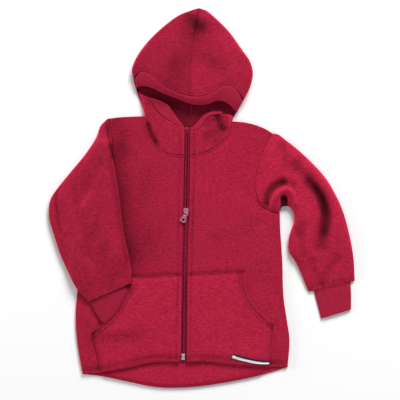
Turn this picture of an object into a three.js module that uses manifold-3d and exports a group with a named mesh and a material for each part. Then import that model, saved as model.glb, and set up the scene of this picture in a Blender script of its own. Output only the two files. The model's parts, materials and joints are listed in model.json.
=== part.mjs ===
// Child's zip-front fleece hoodie, laid flat on its back with its front up.
// Millimetres, +Z up, +Y towards the hood, +X towards the wearer's left sleeve.
import * as THREE from 'three';
import { mergeVertices } from 'three/addons/utils/BufferGeometryUtils.js';
import Module from 'manifold-3d';

const wasm = await Module();
wasm.setup();

// Driving dimensions
const FLEECE = 3; // brushed fleece wall
const RIB = 2.2; // knitted rib wall, doubled
const SEAM = 0.3; // gap left at every seam
const TAPE_WIDTH = 13;
const TAPE = 0.7;
const TAPE_BASE = 5.2; // height of the zip tapes over the table
const CHAIN_HEIGHT = 2.2;
const CHAIN_WIDTH = 1.9; // one half of the closed chain
const FRONT_SIDE_BASE = FLEECE + SEAM; // front panel's underside at the side seams
const FRONT_ZIP_BASE = TAPE_BASE + TAPE + SEAM;
const SLEEVE_ROOT_HEIGHT = 9; // at the armhole and at the cuff
const SLEEVE_PUFF = 7; // more than that in between
const CUFF_HEIGHT = 5.4;
const MOUTH_HEIGHT = 27; // hood crown over the table at the face opening
const BINDING = 1.2;

// Colours, roughness and metalness
const fleeceLook = { color: 0xa51e3a, roughness: 0.95, metalness: 0 };
const ribLook = { color: 0xa02240, roughness: 0.9, metalness: 0 };
const tapeLook = { color: 0x5a1426, roughness: 0.8, metalness: 0 };
const metalLook = { color: 0xa88a90, roughness: 0.35, metalness: 0.9 };
const stopLook = { color: 0xc9c9cc, roughness: 0.3, metalness: 0.9 };
const ribbonLook = { color: 0xe9e4e6, roughness: 0.6, metalness: 0 };

const hoodie = new THREE.Group();

function add(name, geometry, look) {
  const mesh = new THREE.Mesh(geometry, new THREE.MeshStandardMaterial(look));
  mesh.name = name;
  hoodie.add(mesh);
  return mesh;
}

function smooth(from, to, value) {
  const t = Math.min(1, Math.max(0, (value - from) / (to - from)));
  return t * t * (3 - 2 * t);
}

// An edge is one or more runs of points, each with an equal share of the edge's parameter.
// It bends softly in a run and has a corner between runs.
function edge(...runs) {
  const curves = runs.map((run) => {
    const points = run.map(([x, y]) => new THREE.Vector3(x, y, 0));
    return new THREE.CatmullRomCurve3(points, false, 'centripetal');
  });
  return (t) => {
    const k = Math.min(curves.length - 1, Math.max(0, Math.floor(t * curves.length)));
    return curves[k].getPointAt(Math.min(1, Math.max(0, t * curves.length - k)));
  };
}

function shifted(curve, dx, dy) {
  return (t) => curve(t).add(new THREE.Vector3(dx, dy, 0));
}

// A patch fills four edges: bottom and top run left to right, left and right run bottom to top.
function patch({ bottom, top, left, right }) {
  return (s, t) => {
    const across = bottom(s).multiplyScalar(1 - t).add(top(s).multiplyScalar(t));
    const along = left(t).multiplyScalar(1 - s).add(right(t).multiplyScalar(s));
    const corners = bottom(0).multiplyScalar((1 - s) * (1 - t))
      .add(bottom(1).multiplyScalar(s * (1 - t)))
      .add(top(0).multiplyScalar((1 - s) * t))
      .add(top(1).multiplyScalar(s * t));
    return across.add(along).sub(corners);
  };
}

// A wall joins an outer and an inner face round their borders; a round wall closes on itself.
function wall(outerAt, innerAt, columns, rows, round = false) {
  const positions = [];
  const width = round ? columns : columns + 1;
  for (const faceAt of [outerAt, innerAt]) {
    for (let j = 0; j <= rows; j += 1) {
      for (let i = 0; i < width; i += 1) {
        positions.push(...faceAt(i / columns, j / rows).toArray());
      }
    }
  }
  const inner = width * (rows + 1);
  const at = (i, j) => j * width + (i % width);
  const index = [];
  const quad = (a, b, c, d) => index.push(a, b, c, a, c, d);
  for (let j = 0; j < rows; j += 1) {
    for (let i = 0; i < columns; i += 1) {
      quad(at(i, j), at(i + 1, j), at(i + 1, j + 1), at(i, j + 1));
      quad(inner + at(i, j), inner + at(i, j + 1), inner + at(i + 1, j + 1), inner + at(i + 1, j));
    }
  }
  for (let i = 0; i < columns; i += 1) {
    quad(at(i + 1, 0), at(i, 0), inner + at(i, 0), inner + at(i + 1, 0));
    quad(at(i, rows), at(i + 1, rows), inner + at(i + 1, rows), inner + at(i, rows));
  }
  if (!round) {
    for (let j = 0; j < rows; j += 1) {
      quad(at(0, j), at(0, j + 1), inner + at(0, j + 1), inner + at(0, j));
      quad(at(columns, j + 1), at(columns, j), inner + at(columns, j), inner + at(columns, j + 1));
    }
  }
  const geometry = new THREE.BufferGeometry();
  geometry.setAttribute('position', new THREE.Float32BufferAttribute(positions, 3));
  geometry.setIndex(index);
  return outward(geometry);
}

// Turns the faces round where the body came out inside out.
function outward(geometry) {
  const p = geometry.attributes.position;
  const index = geometry.index.array;
  const [a, b, c] = [new THREE.Vector3(), new THREE.Vector3(), new THREE.Vector3()];
  let volume = 0;
  for (let k = 0; k < index.length; k += 3) {
    a.fromBufferAttribute(p, index[k]);
    b.fromBufferAttribute(p, index[k + 1]);
    c.fromBufferAttribute(p, index[k + 2]);
    volume += a.dot(b.cross(c));
  }
  if (volume < 0) {
    for (let k = 0; k < index.length; k += 3) {
      [index[k], index[k + 1]] = [index[k + 1], index[k]];
    }
  }
  geometry.computeVertexNormals();
  return geometry;
}

// A flat-lying panel: its underside is at heightAt, its upper face a thickness above.
function panel(edges, heightAt, thickness, columns, rows) {
  const place = patch(edges);
  const face = (lift) => (s, t) => {
    const point = place(s, t);
    point.z = heightAt(point, s, t) + lift;
    return point;
  };
  return wall(face(thickness), face(0), columns, rows);
}

function toSolid(geometry) {
  const bare = geometry.clone();
  bare.deleteAttribute('normal');
  bare.deleteAttribute('uv');
  const merged = mergeVertices(bare, 1e-4);
  return new wasm.Manifold(new wasm.Mesh({
    numProp: 3,
    vertProperties: new Float32Array(merged.attributes.position.array),
    triVerts: new Uint32Array(merged.index.array),
  }));
}

function fromSolid(solid) {
  const mesh = solid.getMesh();
  const geometry = new THREE.BufferGeometry();
  geometry.setAttribute('position', new THREE.BufferAttribute(new Float32Array(mesh.vertProperties), 3));
  geometry.setIndex(new THREE.BufferAttribute(new Uint32Array(mesh.triVerts), 1));
  geometry.computeVertexNormals();
  return geometry;
}

function join(first, ...others) {
  return fromSolid(others.reduce((solid, next) => solid.add(toSolid(next)), toSolid(first)));
}

// Distance from a point to a polyline, for creases and folds
function distanceTo(line, point) {
  let nearest = Infinity;
  for (let k = 1; k < line.length; k += 1) {
    const [ax, ay] = line[k - 1];
    const [bx, by] = line[k];
    const [dx, dy] = [bx - ax, by - ay];
    const t = ((point.x - ax) * dx + (point.y - ay) * dy) / (dx * dx + dy * dy);
    const u = Math.min(1, Math.max(0, t));
    nearest = Math.min(nearest, Math.hypot(point.x - ax - u * dx, point.y - ay - u * dy));
  }
  return nearest;
}

// Folds on the upper faces: a path, its half width, and its height, below zero for a trough
function relief(folds) {
  return (point) => folds.reduce((sum, { path, reach, rise }) => {
    const share = 1 - Math.min(1, distanceTo(path, point) / reach);
    return sum + rise * share * share * (3 - 2 * share);
  }, 0);
}

// Body outline
const SHOULDER_RIGHT = [-183.3, 154];
const SHOULDER_LEFT = [140.4, 124.8];
const NECK_RIGHT = [-109.2, 158.9];
const NECK_LEFT = [61.4, 149.2];
const HEM_RIGHT = [-230.7, -343.2];
const HEM_LEFT = [168.9, -329.6];
const FRONT_HEM_RIGHT = [-230.1, -342.2];
const FRONT_HEM_LEFT = [168.5, -328.8];
const sideRight = [[-236.9, -308.1], [-243.8, -247.7], [-240.6, -179.4], [-228.2, -97.5],
  [-212.5, -15.6]];
const sideLeft = [[172.4, -276.9], [165.8, -222.3], [157.9, -161.8], [154.4, -72.1], [153.5, -28.3]];
const armholeRight = [[-212.5, -15.6], [-189.2, 15.6], [-176.5, 58.5], [-175.1, 99.5], SHOULDER_RIGHT];
const armholeLeft = [[153.5, -28.3], [136.5, -24.6], [121.7, -17.9], [115.2, -4.7], [112.9, 11.7],
  [112, 27.3], [112.7, 41.9], [116.1, 62.4], [121.8, 80.9], [130.2, 102.4], SHOULDER_LEFT];
const rightSide = edge([HEM_RIGHT, ...sideRight], armholeRight);
const leftSide = edge([HEM_LEFT, ...sideLeft], armholeLeft);
const tail = edge([HEM_RIGHT, [-195, -347.1], [-148.2, -356.8], [-87.8, -368.6], [-27.3, -369.1],
  [40.9, -360.8], [109.2, -347.1], HEM_LEFT]);
const backNeck = [NECK_RIGHT, [-85.8, 146.2], [-56.5, 138.4], [-21.4, 135.5], [19.5, 137.5], NECK_LEFT];
const backTop = edge([SHOULDER_RIGHT, NECK_RIGHT], backNeck, [NECK_LEFT, SHOULDER_LEFT]);

add('back_panel', panel({ bottom: tail, top: backTop, left: rightSide, right: leftSide },
  () => 0, FLEECE, 15, 16), fleeceLook);

// Front panels: a half on each side of the zip, ending above the longer tail
const frontHemRight = edge([FRONT_HEM_RIGHT, [-196, -340.5], [-146.2, -331.9], [-96.7, -320.8],
  [-45.4, -318.8], [-39.4, -318.8]]);
const frontHemLeft = edge([[-26.9, -318.8], [11.7, -319], [63.6, -324.7], [119, -329.2], FRONT_HEM_LEFT]);
const rightNeckSeam = [NECK_RIGHT, [-104.5, 129.3], [-96.5, 111.3], [-86.6, 98.7], [-75.1, 90.3],
  [-56.5, 85], [-33.5, 82.9]];
const leftNeckSeam = [[-21.1, 82.9], [-5.8, 84.6], [9.8, 88.9], [27.3, 98.7], [43.5, 112.3],
  [57.3, 132.2], NECK_LEFT];

// Side of the body at a height up the page, straight between the rows of its table
function sideX(rows, y) {
  const k = Math.max(1, rows.findIndex((row) => row[1] >= y));
  const [[ax, ay], [bx, by]] = [rows[k - 1], rows[k]];
  return ax + (bx - ax) * Math.min(1, Math.max(0, (y - ay) / (by - ay)));
}

const rightSideRows = [[-230.7, -343.2], [-243.8, -247.7], [-240.6, -179.4], [-228.2, -97.5],
  [-212.5, -15.6], [-189.2, 15.6], [-176.5, 58.5], SHOULDER_RIGHT];
const leftSideRows = [[168.5, -329.6], [170.6, -267.1], [157.9, -161.8], [154.4, -72.1],
  [153.5, -29.2], [111.1, 15.6], [119, 74.1], SHOULDER_LEFT];
const PUFF_REACH = 60; // the front rises over this distance in from the sides

// Underside of the front panels: on the back panel at the sides, over the tapes at the zip
function frontUnderside(point) {
  const fromRight = point.x - sideX(rightSideRows, point.y);
  const fromLeft = sideX(leftSideRows, point.y) - point.x;
  const rise = smooth(2, PUFF_REACH, Math.min(fromRight, fromLeft));
  return FRONT_SIDE_BASE + (FRONT_ZIP_BASE - FRONT_SIDE_BASE) * rise;
}

function onFront(point) {
  return frontUnderside(point) + FLEECE + SEAM;
}

const frontRightEdges = {
  bottom: frontHemRight,
  top: edge([SHOULDER_RIGHT, NECK_RIGHT], rightNeckSeam),
  left: edge([FRONT_HEM_RIGHT, ...sideRight], armholeRight),
  right: edge([[-39.4, -318.8], [-33.5, 82.9]]),
};
const frontLeftEdges = {
  bottom: frontHemLeft,
  top: edge(leftNeckSeam, [NECK_LEFT, SHOULDER_LEFT]),
  left: edge([[-26.9, -318.8], [-21.1, 82.9]]),
  right: edge([FRONT_HEM_LEFT, ...sideLeft], armholeLeft),
};
add('front_right', panel(frontRightEdges, frontUnderside, FLEECE, 16, 14), fleeceLook);
add('front_left', panel(frontLeftEdges, frontUnderside, FLEECE, 16, 14), fleeceLook);

// Sleeves: flattened tubes. Each row is one section from the outer fold to the inner fold;
// middle bends the section sideways where it follows the armhole seam.
function tubeFaces(rows, { baseAt, heightAt, wallThickness, reliefAt = () => 0 }) {
  const lineOf = (key) => {
    const points = rows.map((row) => new THREE.Vector3(...row[key], 0));
    return new THREE.CatmullRomCurve3(points, false, 'centripetal');
  };
  const outerLine = lineOf('outer');
  const middleLine = lineOf('middle');
  const innerLine = lineOf('inner');
  const at = (s, t, inset) => {
    const angle = s * 2 * Math.PI;
    const level = Math.min(1, Math.max(-1, 1.3 * Math.sin(angle)));
    const [outer, middle, inner] = [outerLine, middleLine, innerLine].map((line) => line.getPoint(t));
    const half = outer.distanceTo(inner) / 2;
    const height = heightAt(t);
    const q = Math.cos(angle) * (half - 1.25 * inset) / half;
    const point = outer.clone().multiplyScalar(q * (q + 1) / 2)
      .add(middle.clone().multiplyScalar(1 - q * q))
      .add(inner.clone().multiplyScalar(q * (q - 1) / 2));
    const rise = reliefAt(point) * smooth(0, 0.8, level);
    point.z = baseAt(point) + height / 2 + level * (height / 2 - inset) + rise;
    return point;
  };
  return [(s, t) => at(s, t, 0), (s, t) => at(s, t, wallThickness)];
}

function section(outer, inner, middle) {
  const halfway = [(outer[0] + inner[0]) / 2, (outer[1] + inner[1]) / 2];
  return { outer, inner, middle: middle ?? halfway };
}

function sleeveHeight(t) {
  return SLEEVE_ROOT_HEIGHT + SLEEVE_PUFF * smooth(0, 0.3, t) * smooth(1, 0.8, t);
}

// The left sleeve lies on the table, its underarm cloth rolled up round the armpit.
const leftSleeveRows = [
  section([144.1, 126.8], [126.9, -15.6], [113.7, 40.9]),
  section([152.1, 122.8], [138.1, -21.8], [129.7, 40.9]),
  section([161.8, 115], [152.5, -25.3], [146.2, 42.9]),
  section([173.5, 106.3], [157.9, -17.2], [163.8, 44.9]),
  section([189.2, 93.6], [172.8, -17.2], [181.3, 39]),
  section([212.5, 72.1], [180.2, -30.2], [196.9, 21.4]),
  section([242.8, 38.6], [181.3, -44.9]),
  section([261.3, 7.8], [174.5, -64.3]),
  section([276.9, -27.3], [170.2, -83.8]),
  section([291.5, -82.9], [172, -105.3]),
  section([297.4, -120.9], [186.4, -128.7]),
  section([299.5, -161.8], [209.6, -182.9]),
];
// Creases and the rolled underarm cloth: each a soft ridge or trough along its path
const leftSleeveFolds = relief([
  { path: [[193, 60.4], [208.7, 40.9], [222.3, 23.4], [234, 5.8], [239.8, -11.7], [242.8, -31.2],
    [239.8, -64.3], [234, -95.5]], reach: 20, rise: -4.5 },
  { path: [[210.6, 62.4], [235.9, 31.2], [255.4, 0], [265.2, -35.1]], reach: 16, rise: 1.5 },
  { path: [[196.9, -58.5], [195, -81.9], [198.9, -105.3]], reach: 14, rise: -2 },
  { path: [[131.6, -15.6], [132.6, 0], [141.4, 12.7], [154, 19.5], [169.7, 18.5], [178.4, 5.8],
    [181.3, -11.7]], reach: 10, rise: 4 },
  { path: [[123.8, -7.8], [122.8, 9.8], [129.7, 23.4], [144.3, 32.2]], reach: 8, rise: -3 },
  { path: [[162.8, 0], [164.8, -17.6]], reach: 10, rise: -6.5 },
]);
const [leftSleeveOuter, leftSleeveInner] = tubeFaces(leftSleeveRows,
  { baseAt: () => 0, heightAt: sleeveHeight, wallThickness: FLEECE, reliefAt: leftSleeveFolds });
add('sleeve_left', wall(leftSleeveOuter, leftSleeveInner, 32, 33, true), fleeceLook);

// The right sleeve leaves the armhole, bends and comes back over the front to the pocket.
const rightSleeveRows = [
  section([-186.8, 152.1], [-177.1, 99.5]),
  section([-201.2, 120.9], [-171.8, 78]),
  section([-224.2, 86.8], [-167.7, 52.6]),
  section([-249.6, 55.6], [-163.4, 27.3]),
  section([-275.9, 23.4], [-159.3, 1.9]),
  section([-293.5, -3.9], [-156, -23.4]),
  section([-295.4, -39], [-153.3, -44.9]),
  section([-285.7, -74.1], [-150.5, -66.3]),
  section([-274.9, -107.2], [-146.2, -88.7]),
  section([-260.3, -140.4], [-141.2, -109.2]),
  section([-241.2, -176.7], [-137.3, -136.5]),
  section([-218.4, -201.8], [-134.9, -165]),
];
const ARM_LIFT_START = 123;
const ARM_LIFT_FULL = 102;

// What the right arm lies on: the table, then the front panel inside the body's edge
function underRightArm(point) {
  const inside = point.x - sideX(rightSideRows, point.y);
  const lift = smooth(-32, -9, inside) * smooth(ARM_LIFT_START, ARM_LIFT_FULL, point.y);
  return onFront(point) * lift;
}

const rightSleeveFolds = relief([
  { path: [[-274.9, 19.5], [-280.8, -3.9], [-274.9, -66.3]], reach: 12, rise: 1.5 },
  { path: [[-204.8, 62.4], [-224.2, 27.3], [-247.7, -7.8]], reach: 18, rise: -2.2 },
  { path: [[-173.5, -3.9], [-196.9, -31.2], [-208.7, -74.1]], reach: 18, rise: -2 },
  { path: [[-239.8, -31.2], [-228.2, -78], [-212.5, -124.8]], reach: 18, rise: -2 },
  { path: [[-189.2, -105.3], [-185.2, -144.3], [-177.4, -179.4]], reach: 15, rise: -2 },
]);
const [rightSleeveOuter, rightSleeveInner] = tubeFaces(rightSleeveRows,
  { baseAt: underRightArm, heightAt: sleeveHeight, wallThickness: FLEECE, reliefAt: rightSleeveFolds });
add('sleeve_right', wall(rightSleeveOuter, rightSleeveInner, 24, 22, true), fleeceLook);

// Rib cuffs: narrower tubes; the right one goes into the pocket
const leftCuffRows = [
  section([291.7, -164.4], [220, -181.2]),
  section([292.5, -191.1], [227, -207.7]),
  section([292.3, -217.4], [234.2, -235.2]),
];
const rightCuffRows = [
  section([-216.3, -202], [-145.5, -170.4]),
  section([-204.8, -224.2], [-141.4, -195]),
  section([-192.1, -243.8], [-137.5, -219.4]),
];
function cuff(rows, baseAt) {
  const [outer, inner] = tubeFaces(rows, { baseAt, heightAt: () => CUFF_HEIGHT, wallThickness: RIB });
  return wall(outer, inner, 18, 4, true);
}
add('cuff_left', cuff(leftCuffRows, () => 0), ribLook);
add('cuff_right', cuff(rightCuffRows, underRightArm), ribLook);

// Pocket patches: on the fronts, the right one lifted by the cuff inside it
const cuffLine = [[-181.3, -185.2], [-164.8, -231.1]];
const CUFF_LIFT_REACH = [40, 78];
const POCKET_SEWN_Y = -285; // below here the right pocket's side is sewn down

function underRightPocket(point) {
  const near = smooth(CUFF_LIFT_REACH[1], CUFF_LIFT_REACH[0], distanceTo(cuffLine, point));
  const lift = near * smooth(POCKET_SEWN_Y, POCKET_SEWN_Y + 30, point.y);
  return onFront(point) + (CUFF_HEIGHT + 2 * SEAM) * lift;
}

const rightPocketEdges = {
  bottom: edge([[-198.9, -333.4], [-146.2, -326.2], [-97.5, -317.1], [-44.5, -315.9]]),
  top: edge([[-132.6, -153.1], [-42.1, -148.2]]),
  left: edge([[-198.9, -333.4], [-202.2, -306.1], [-213.5, -263.2]],
    [[-213.5, -263.2], [-191.1, -244.5], [-173.5, -229.1], [-158.7, -209.6], [-150.2, -191.1],
      [-135.5, -173.5]],
    [[-135.5, -173.5], [-132.6, -153.1]]),
  right: edge([[-44.5, -315.9], [-42.1, -148.2]]),
};
const leftPocketEdges = {
  bottom: edge([[-21.8, -315.9], [37, -317.1], [85.8, -322.9], [136.1, -325.6]]),
  top: edge([[-19.5, -148.2], [83.5, -141.4]]),
  left: edge([[-21.8, -315.9], [-19.5, -148.2]]),
  right: edge([[136.1, -325.6], [138.4, -286.6], [141, -245.7]],
    [[141, -245.7], [124.4, -232], [108.8, -216.4], [96.5, -200.8], [87.8, -179.4], [84.4, -158.9],
      [83.5, -141.4]]),
};
add('pocket_right', panel(rightPocketEdges, underRightPocket, FLEECE, 12, 14), fleeceLook);
add('pocket_left', panel(leftPocketEdges, onFront, FLEECE, 10, 12), fleeceLook);

// Bare ribbon label, sewn flat across the pocket's lower corner
const ribbonEdges = {
  bottom: edge([[60.4, -312], [95.5, -317.8], [131.8, -324.5]]),
  top: edge([[61.4, -306.1], [95.5, -312], [132.6, -318.6]]),
  left: edge([[60.4, -312], [61.4, -306.1]]),
  right: edge([[131.8, -324.5], [132.6, -318.6]]),
};
add('label_ribbon', panel(ribbonEdges,
  (point) => onFront(point) + FLEECE + SEAM, 0.8, 8, 1), ribbonLook);

// Binding on the inside of the back panel's tail
const bindingEdges = {
  bottom: edge([[-191.1, -347.5], [-148.2, -356.3], [-87.8, -367.8], [-27.3, -368.6], [40.9, -360.2],
    [109.2, -346.5], [120.9, -342.4]]),
  top: edge([[-191.1, -342], [-148.2, -349.8], [-87.8, -361.1], [-27.3, -361.9], [40.9, -353.7],
    [109.2, -340.3], [120.9, -336.6]]),
  left: edge([[-191.1, -347.5], [-191.1, -342]]),
  right: edge([[120.9, -342.4], [120.9, -336.6]]),
};
add('tail_binding', panel(bindingEdges, () => FLEECE + SEAM, BINDING, 24, 1), ribLook);

// Hood: two halves joined on the centre seam. The crown lies on top of the back of the hood,
// with the face opening towards the body; the collar part folds over to the neck seam.
const CROWN_TIP = [-3.9, 369.7];
const NECK_CENTRE = [-21.4, 137.9];
const FACE_CENTRE = [-21.4, 198.1];
const TIP_INNER_GAP = 0.4;

function crownFaces({ backEdge, faceSeam, silhouette, tip, backCentre, crownCentre }) {
  const back = patch({ bottom: backEdge, top: tip, left: backCentre, right: silhouette });
  const crown = patch({ bottom: faceSeam, top: tip, left: crownCentre, right: silhouette });
  const at = (s, v, inset) => {
    const angle = (s - 0.5) * Math.PI;
    const width = backCentre(v).distanceTo(silhouette(v));
    const q = Math.cos(angle) * (width - 1.3 * inset) / width;
    const point = (s < 0.5 ? back : crown)(q, v);
    const tipHeight = 2 * FLEECE + TIP_INNER_GAP;
    const height = MOUTH_HEIGHT + (tipHeight - MOUTH_HEIGHT) * v ** 1.4;
    const level = s < 0.5 ? Math.max(-1, 1.5 * Math.sin(angle)) : Math.sin(angle);
    point.z = height / 2 + level * (height / 2 - inset);
    return point;
  };
  return [(s, v) => at(s, v, 0), (s, v) => at(s, v, FLEECE)];
}

const backCentre = edge([NECK_CENTRE, [-20.5, 210.6], [-17.6, 288.6], CROWN_TIP]);
const crownCentre = edge([FACE_CENTRE, [-18.9, 276.9], [-12.9, 316.9], CROWN_TIP]);
const rightSilhouette = edge([[-129.5, 235.9], [-134.2, 247.7], [-127.7, 269.1], [-109.4, 297],
  [-83.8, 324.3], [-44.9, 354.9], [-21.4, 365]]);
const leftSilhouette = edge([[83.1, 191.1], [95.5, 215.3], [101, 241.8], [95.5, 265.2], [79.6, 289],
  [54.6, 323.7], [23.4, 354.9], [11.7, 364.6]]);
const rightCrown = crownFaces({
  backEdge: edge([NECK_CENTRE, [-56.5, 140.8], [-85, 149.4], [-107.2, 161.8]],
    [[-107.2, 161.8], [-117, 185.2], [-126.8, 213.5], [-129.5, 235.9]]),
  faceSeam: edge([FACE_CENTRE, [-47.8, 205.9], [-74.1, 220], [-91.6, 235.9], [-103.3, 243.8],
    [-117.4, 245.5], [-129.5, 235.9]]),
  silhouette: rightSilhouette,
  tip: edge([CROWN_TIP, [-21.4, 365]]),
  backCentre,
  crownCentre,
});
const leftCrown = crownFaces({
  backEdge: edge([NECK_CENTRE, [19.5, 140.4], [60.4, 152.5]],
    [[60.4, 152.5], [68.2, 165.8], [83.1, 191.1]]),
  faceSeam: edge([FACE_CENTRE, [1.9, 198.1], [21.4, 205.9], [37.8, 215.9], [53.8, 219], [69.6, 210],
    [83.1, 191.1]]),
  silhouette: leftSilhouette,
  tip: edge([CROWN_TIP, [11.7, 364.6]]),
  backCentre,
  crownCentre,
});

// Collar parts lie on the back of the hood and stand up towards the face edge.
const COLLAR_FACE_BASE = 12;
const COLLAR_FOLD_BASE = [3.5, 1.8]; // at the neck seam and at the face edge

function collarHeight(fromFold, up) {
  const fold = COLLAR_FOLD_BASE[0] + (COLLAR_FOLD_BASE[1] - COLLAR_FOLD_BASE[0]) * up;
  const stand = (COLLAR_FACE_BASE - FRONT_ZIP_BASE) * up * (1 - smooth(0.35, 0.95, fromFold));
  const level = FRONT_ZIP_BASE + stand;
  return fold + (level - fold) * smooth(0, 0.3, fromFold);
}

const rightCollar = panel({
  bottom: shifted(edge(rightNeckSeam), SEAM, 4 * SEAM),
  top: edge([[-122.5, 204.8], [-109.2, 198.1], [-99.5, 194.6]],
    [[-99.5, 194.6], [-95.5, 186.4], [-84.6, 168.1], [-68.6, 153.5], [-43.7, 139.4], [-32.6, 136.7]]),
  left: edge([[-108.9, 160.1], [-114.7, 181.3], [-122.5, 204.8]]),
  right: edge([[-33.2, 84], [-32.6, 136.7]]),
}, (point, s, t) => collarHeight(s, t), FLEECE, 16, 7);
const leftCollar = panel({
  bottom: shifted(edge(leftNeckSeam), -SEAM, 4 * SEAM),
  top: edge([[-20.5, 131.8], [-9, 131.4], [-0.6, 136.1], [7.2, 147.8], [14, 156.6], [25.3, 161.5],
    [40.9, 162.4]],
    [[40.9, 162.4], [52.6, 162.2], [64, 159.1]]),
  left: edge([[-21.4, 84], [-20.5, 131.8]]),
  right: edge([[61.1, 150.3], [64, 159.1]]),
}, (point, s, t) => collarHeight(1 - s, t), FLEECE, 16, 7);

const CENTRE_GAP = SEAM / 2;
function besideCentre(faces, side) {
  return faces.map((face) => (s, v) => face(s, v).add(new THREE.Vector3(side * CENTRE_GAP, 0, 0)));
}
add('hood_right', join(wall(...besideCentre(rightCrown, -1), 20, 12), rightCollar), fleeceLook);
add('hood_left', join(wall(...besideCentre(leftCrown, 1), 20, 12), leftCollar), fleeceLook);

// Rib band round the face opening: one strip over the crown and one down each collar part.
// The crown strip's columns close up towards the folded corners, as the crown's own do.
function fromCentre(s) {
  return Math.abs(Math.cos(s * Math.PI));
}
function bothRuns(first, second) {
  return (s) => (s < 0.5 ? first(1 - fromCentre(s)) : second(fromCentre(s)));
}
const LIP_CURL = 6; // how far the band's free edge curls below its seam
const crownBand = panel({
  bottom: bothRuns(edge([[-126.4, 214.5], [-113.3, 217.4], [-97.5, 214.5], [-78, 205.3],
    [-53.6, 195.4], [-22.4, 183.3]]),
    edge([[-22.4, 183.3], [-5.8, 180.6], [13.7, 182.5], [31.2, 188.6], [45.8, 186.6], [59.7, 176.7],
      [69.6, 165.8]])),
  top: bothRuns(edge([[-127.9, 233.2], [-117.4, 244.7], [-103.3, 243], [-91.6, 235.2], [-74.1, 219.2],
    [-47.8, 205.1], [-21.4, 197.3]]),
    edge([[-21.4, 197.3], [1.9, 197.3], [21.4, 205.1], [37.8, 215.1], [53.8, 218.2], [69.6, 208.8],
      [81.1, 189.2]])),
  left: edge([[-126.4, 214.5], [-127.9, 233.2]]),
  right: edge([[69.6, 165.8], [81.1, 189.2]]),
}, (point, s, t) => {
  const crown = MOUTH_HEIGHT / 2 * (1 + Math.sqrt(1 - fromCentre(s) ** 2));
  return crown - RIB - LIP_CURL * (1 - t) * (1 - t);
}, RIB, 20, 4);
add('hood_band', crownBand, ribLook);
const rightBand = panel({
  bottom: edge([[-95.2, 187.2], [-84.2, 169.1], [-68.2, 154.2], [-43.5, 140.4], [-32.6, 137.5]]),
  top: edge([[-98.7, 195], [-85.8, 191.3], [-72.5, 185.8], [-64.5, 181], [-54.6, 167.7],
    [-41.9, 150.2], [-32.8, 139.6]]),
  left: edge([[-95.2, 187.2], [-98.7, 195]]),
  right: edge([[-32.6, 137.5], [-32.8, 139.6]]),
}, (point, s) => collarHeight(0.3 + 0.7 * s, 1), RIB, 10, 2);
add('hood_band_right', rightBand, ribLook);
const leftBand = panel({
  bottom: edge([[-20.5, 132.8], [-9.2, 132.4], [-1.2, 136.9], [6.6, 148.4], [13.5, 157.2], [25, 162],
    [40.6, 163.2]]),
  top: edge([[-20.3, 136.9], [-11.9, 142.2], [-3.9, 151.1], [7.8, 162.4], [21.4, 167.7], [40.6, 168.1]]),
  left: edge([[-20.5, 132.8], [-20.3, 136.9]]),
  right: edge([[40.6, 163.2], [40.6, 168.1]]),
}, (point, s) => collarHeight(1 - 0.75 * s, 1), RIB, 10, 2);
add('hood_band_left', leftBand, ribLook);

// Zip: two tapes and two half chains, open above the slider and closed below it
const [ZIP_X_BOTTOM, ZIP_Y_BOTTOM] = [-33.1, -315.9];
const [ZIP_X_TOP, ZIP_Y_TOP] = [-26.7, 137.9];
const SLIDER_Y = -27;
const ZIP_SPREAD = 1.6; // how far each half stands off above the slider
const STOP_LENGTH = 11.5;
const SLIDER = { length: 15, width: 10, plate: 1.2, post: 1.8 };
const CHAIN_BASE = TAPE_BASE + TAPE + SEAM;

function zipX(y) {
  return ZIP_X_BOTTOM + (ZIP_X_TOP - ZIP_X_BOTTOM) * (y - ZIP_Y_BOTTOM) / (ZIP_Y_TOP - ZIP_Y_BOTTOM);
}

function zipStrip(side, near, far, yFrom, yTo, base, thickness) {
  const face = (lift) => (s, t) => {
    const y = yFrom + (yTo - yFrom) * t;
    const spread = ZIP_SPREAD * smooth(SLIDER_Y - 3, SLIDER_Y + 3, y);
    return new THREE.Vector3(zipX(y) + side * (near + (far - near) * s + spread), y, base + lift);
  };
  return wall(face(thickness), face(0), 1, 26);
}
for (const [name, side] of [['right', -1], ['left', 1]]) {
  add(`zip_tape_${name}`,
    zipStrip(side, SEAM / 2, TAPE_WIDTH, ZIP_Y_BOTTOM, ZIP_Y_TOP, TAPE_BASE, TAPE), tapeLook);
  add(`zip_chain_${name}`,
    zipStrip(side, SEAM / 2, CHAIN_WIDTH, ZIP_Y_BOTTOM + STOP_LENGTH + 2, ZIP_Y_TOP - 3, CHAIN_BASE,
      CHAIN_HEIGHT),
    tapeLook);
}

// Slider: two plates, the post between them and a bridge that holds the pull tab
const TAB = { thickness: 1.4, length: 20, neck: 3.5, end: 5.8, slew: THREE.MathUtils.degToRad(22.5) };
const CROSSBAR_HALF = TAB.thickness / 2;
const TOP_PLATE_TOP = CHAIN_BASE + CHAIN_HEIGHT + 0.4 + SLIDER.plate;
const PIVOT_Z = TOP_PLATE_TOP + 1.3;
const PIVOT_Y = SLIDER_Y - 2;
const BRIDGE = { inner: 1.45, outer: 2.9, width: 1.8 };

function plate(outline, height, base, bevel = 0) {
  const geometry = new THREE.ExtrudeGeometry(outline, {
    depth: height - 2 * bevel, bevelEnabled: bevel > 0, bevelThickness: bevel, bevelSize: bevel,
    bevelOffset: -bevel, bevelSegments: 1, curveSegments: 6,
  });
  return geometry.translate(0, 0, base + bevel);
}

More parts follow.
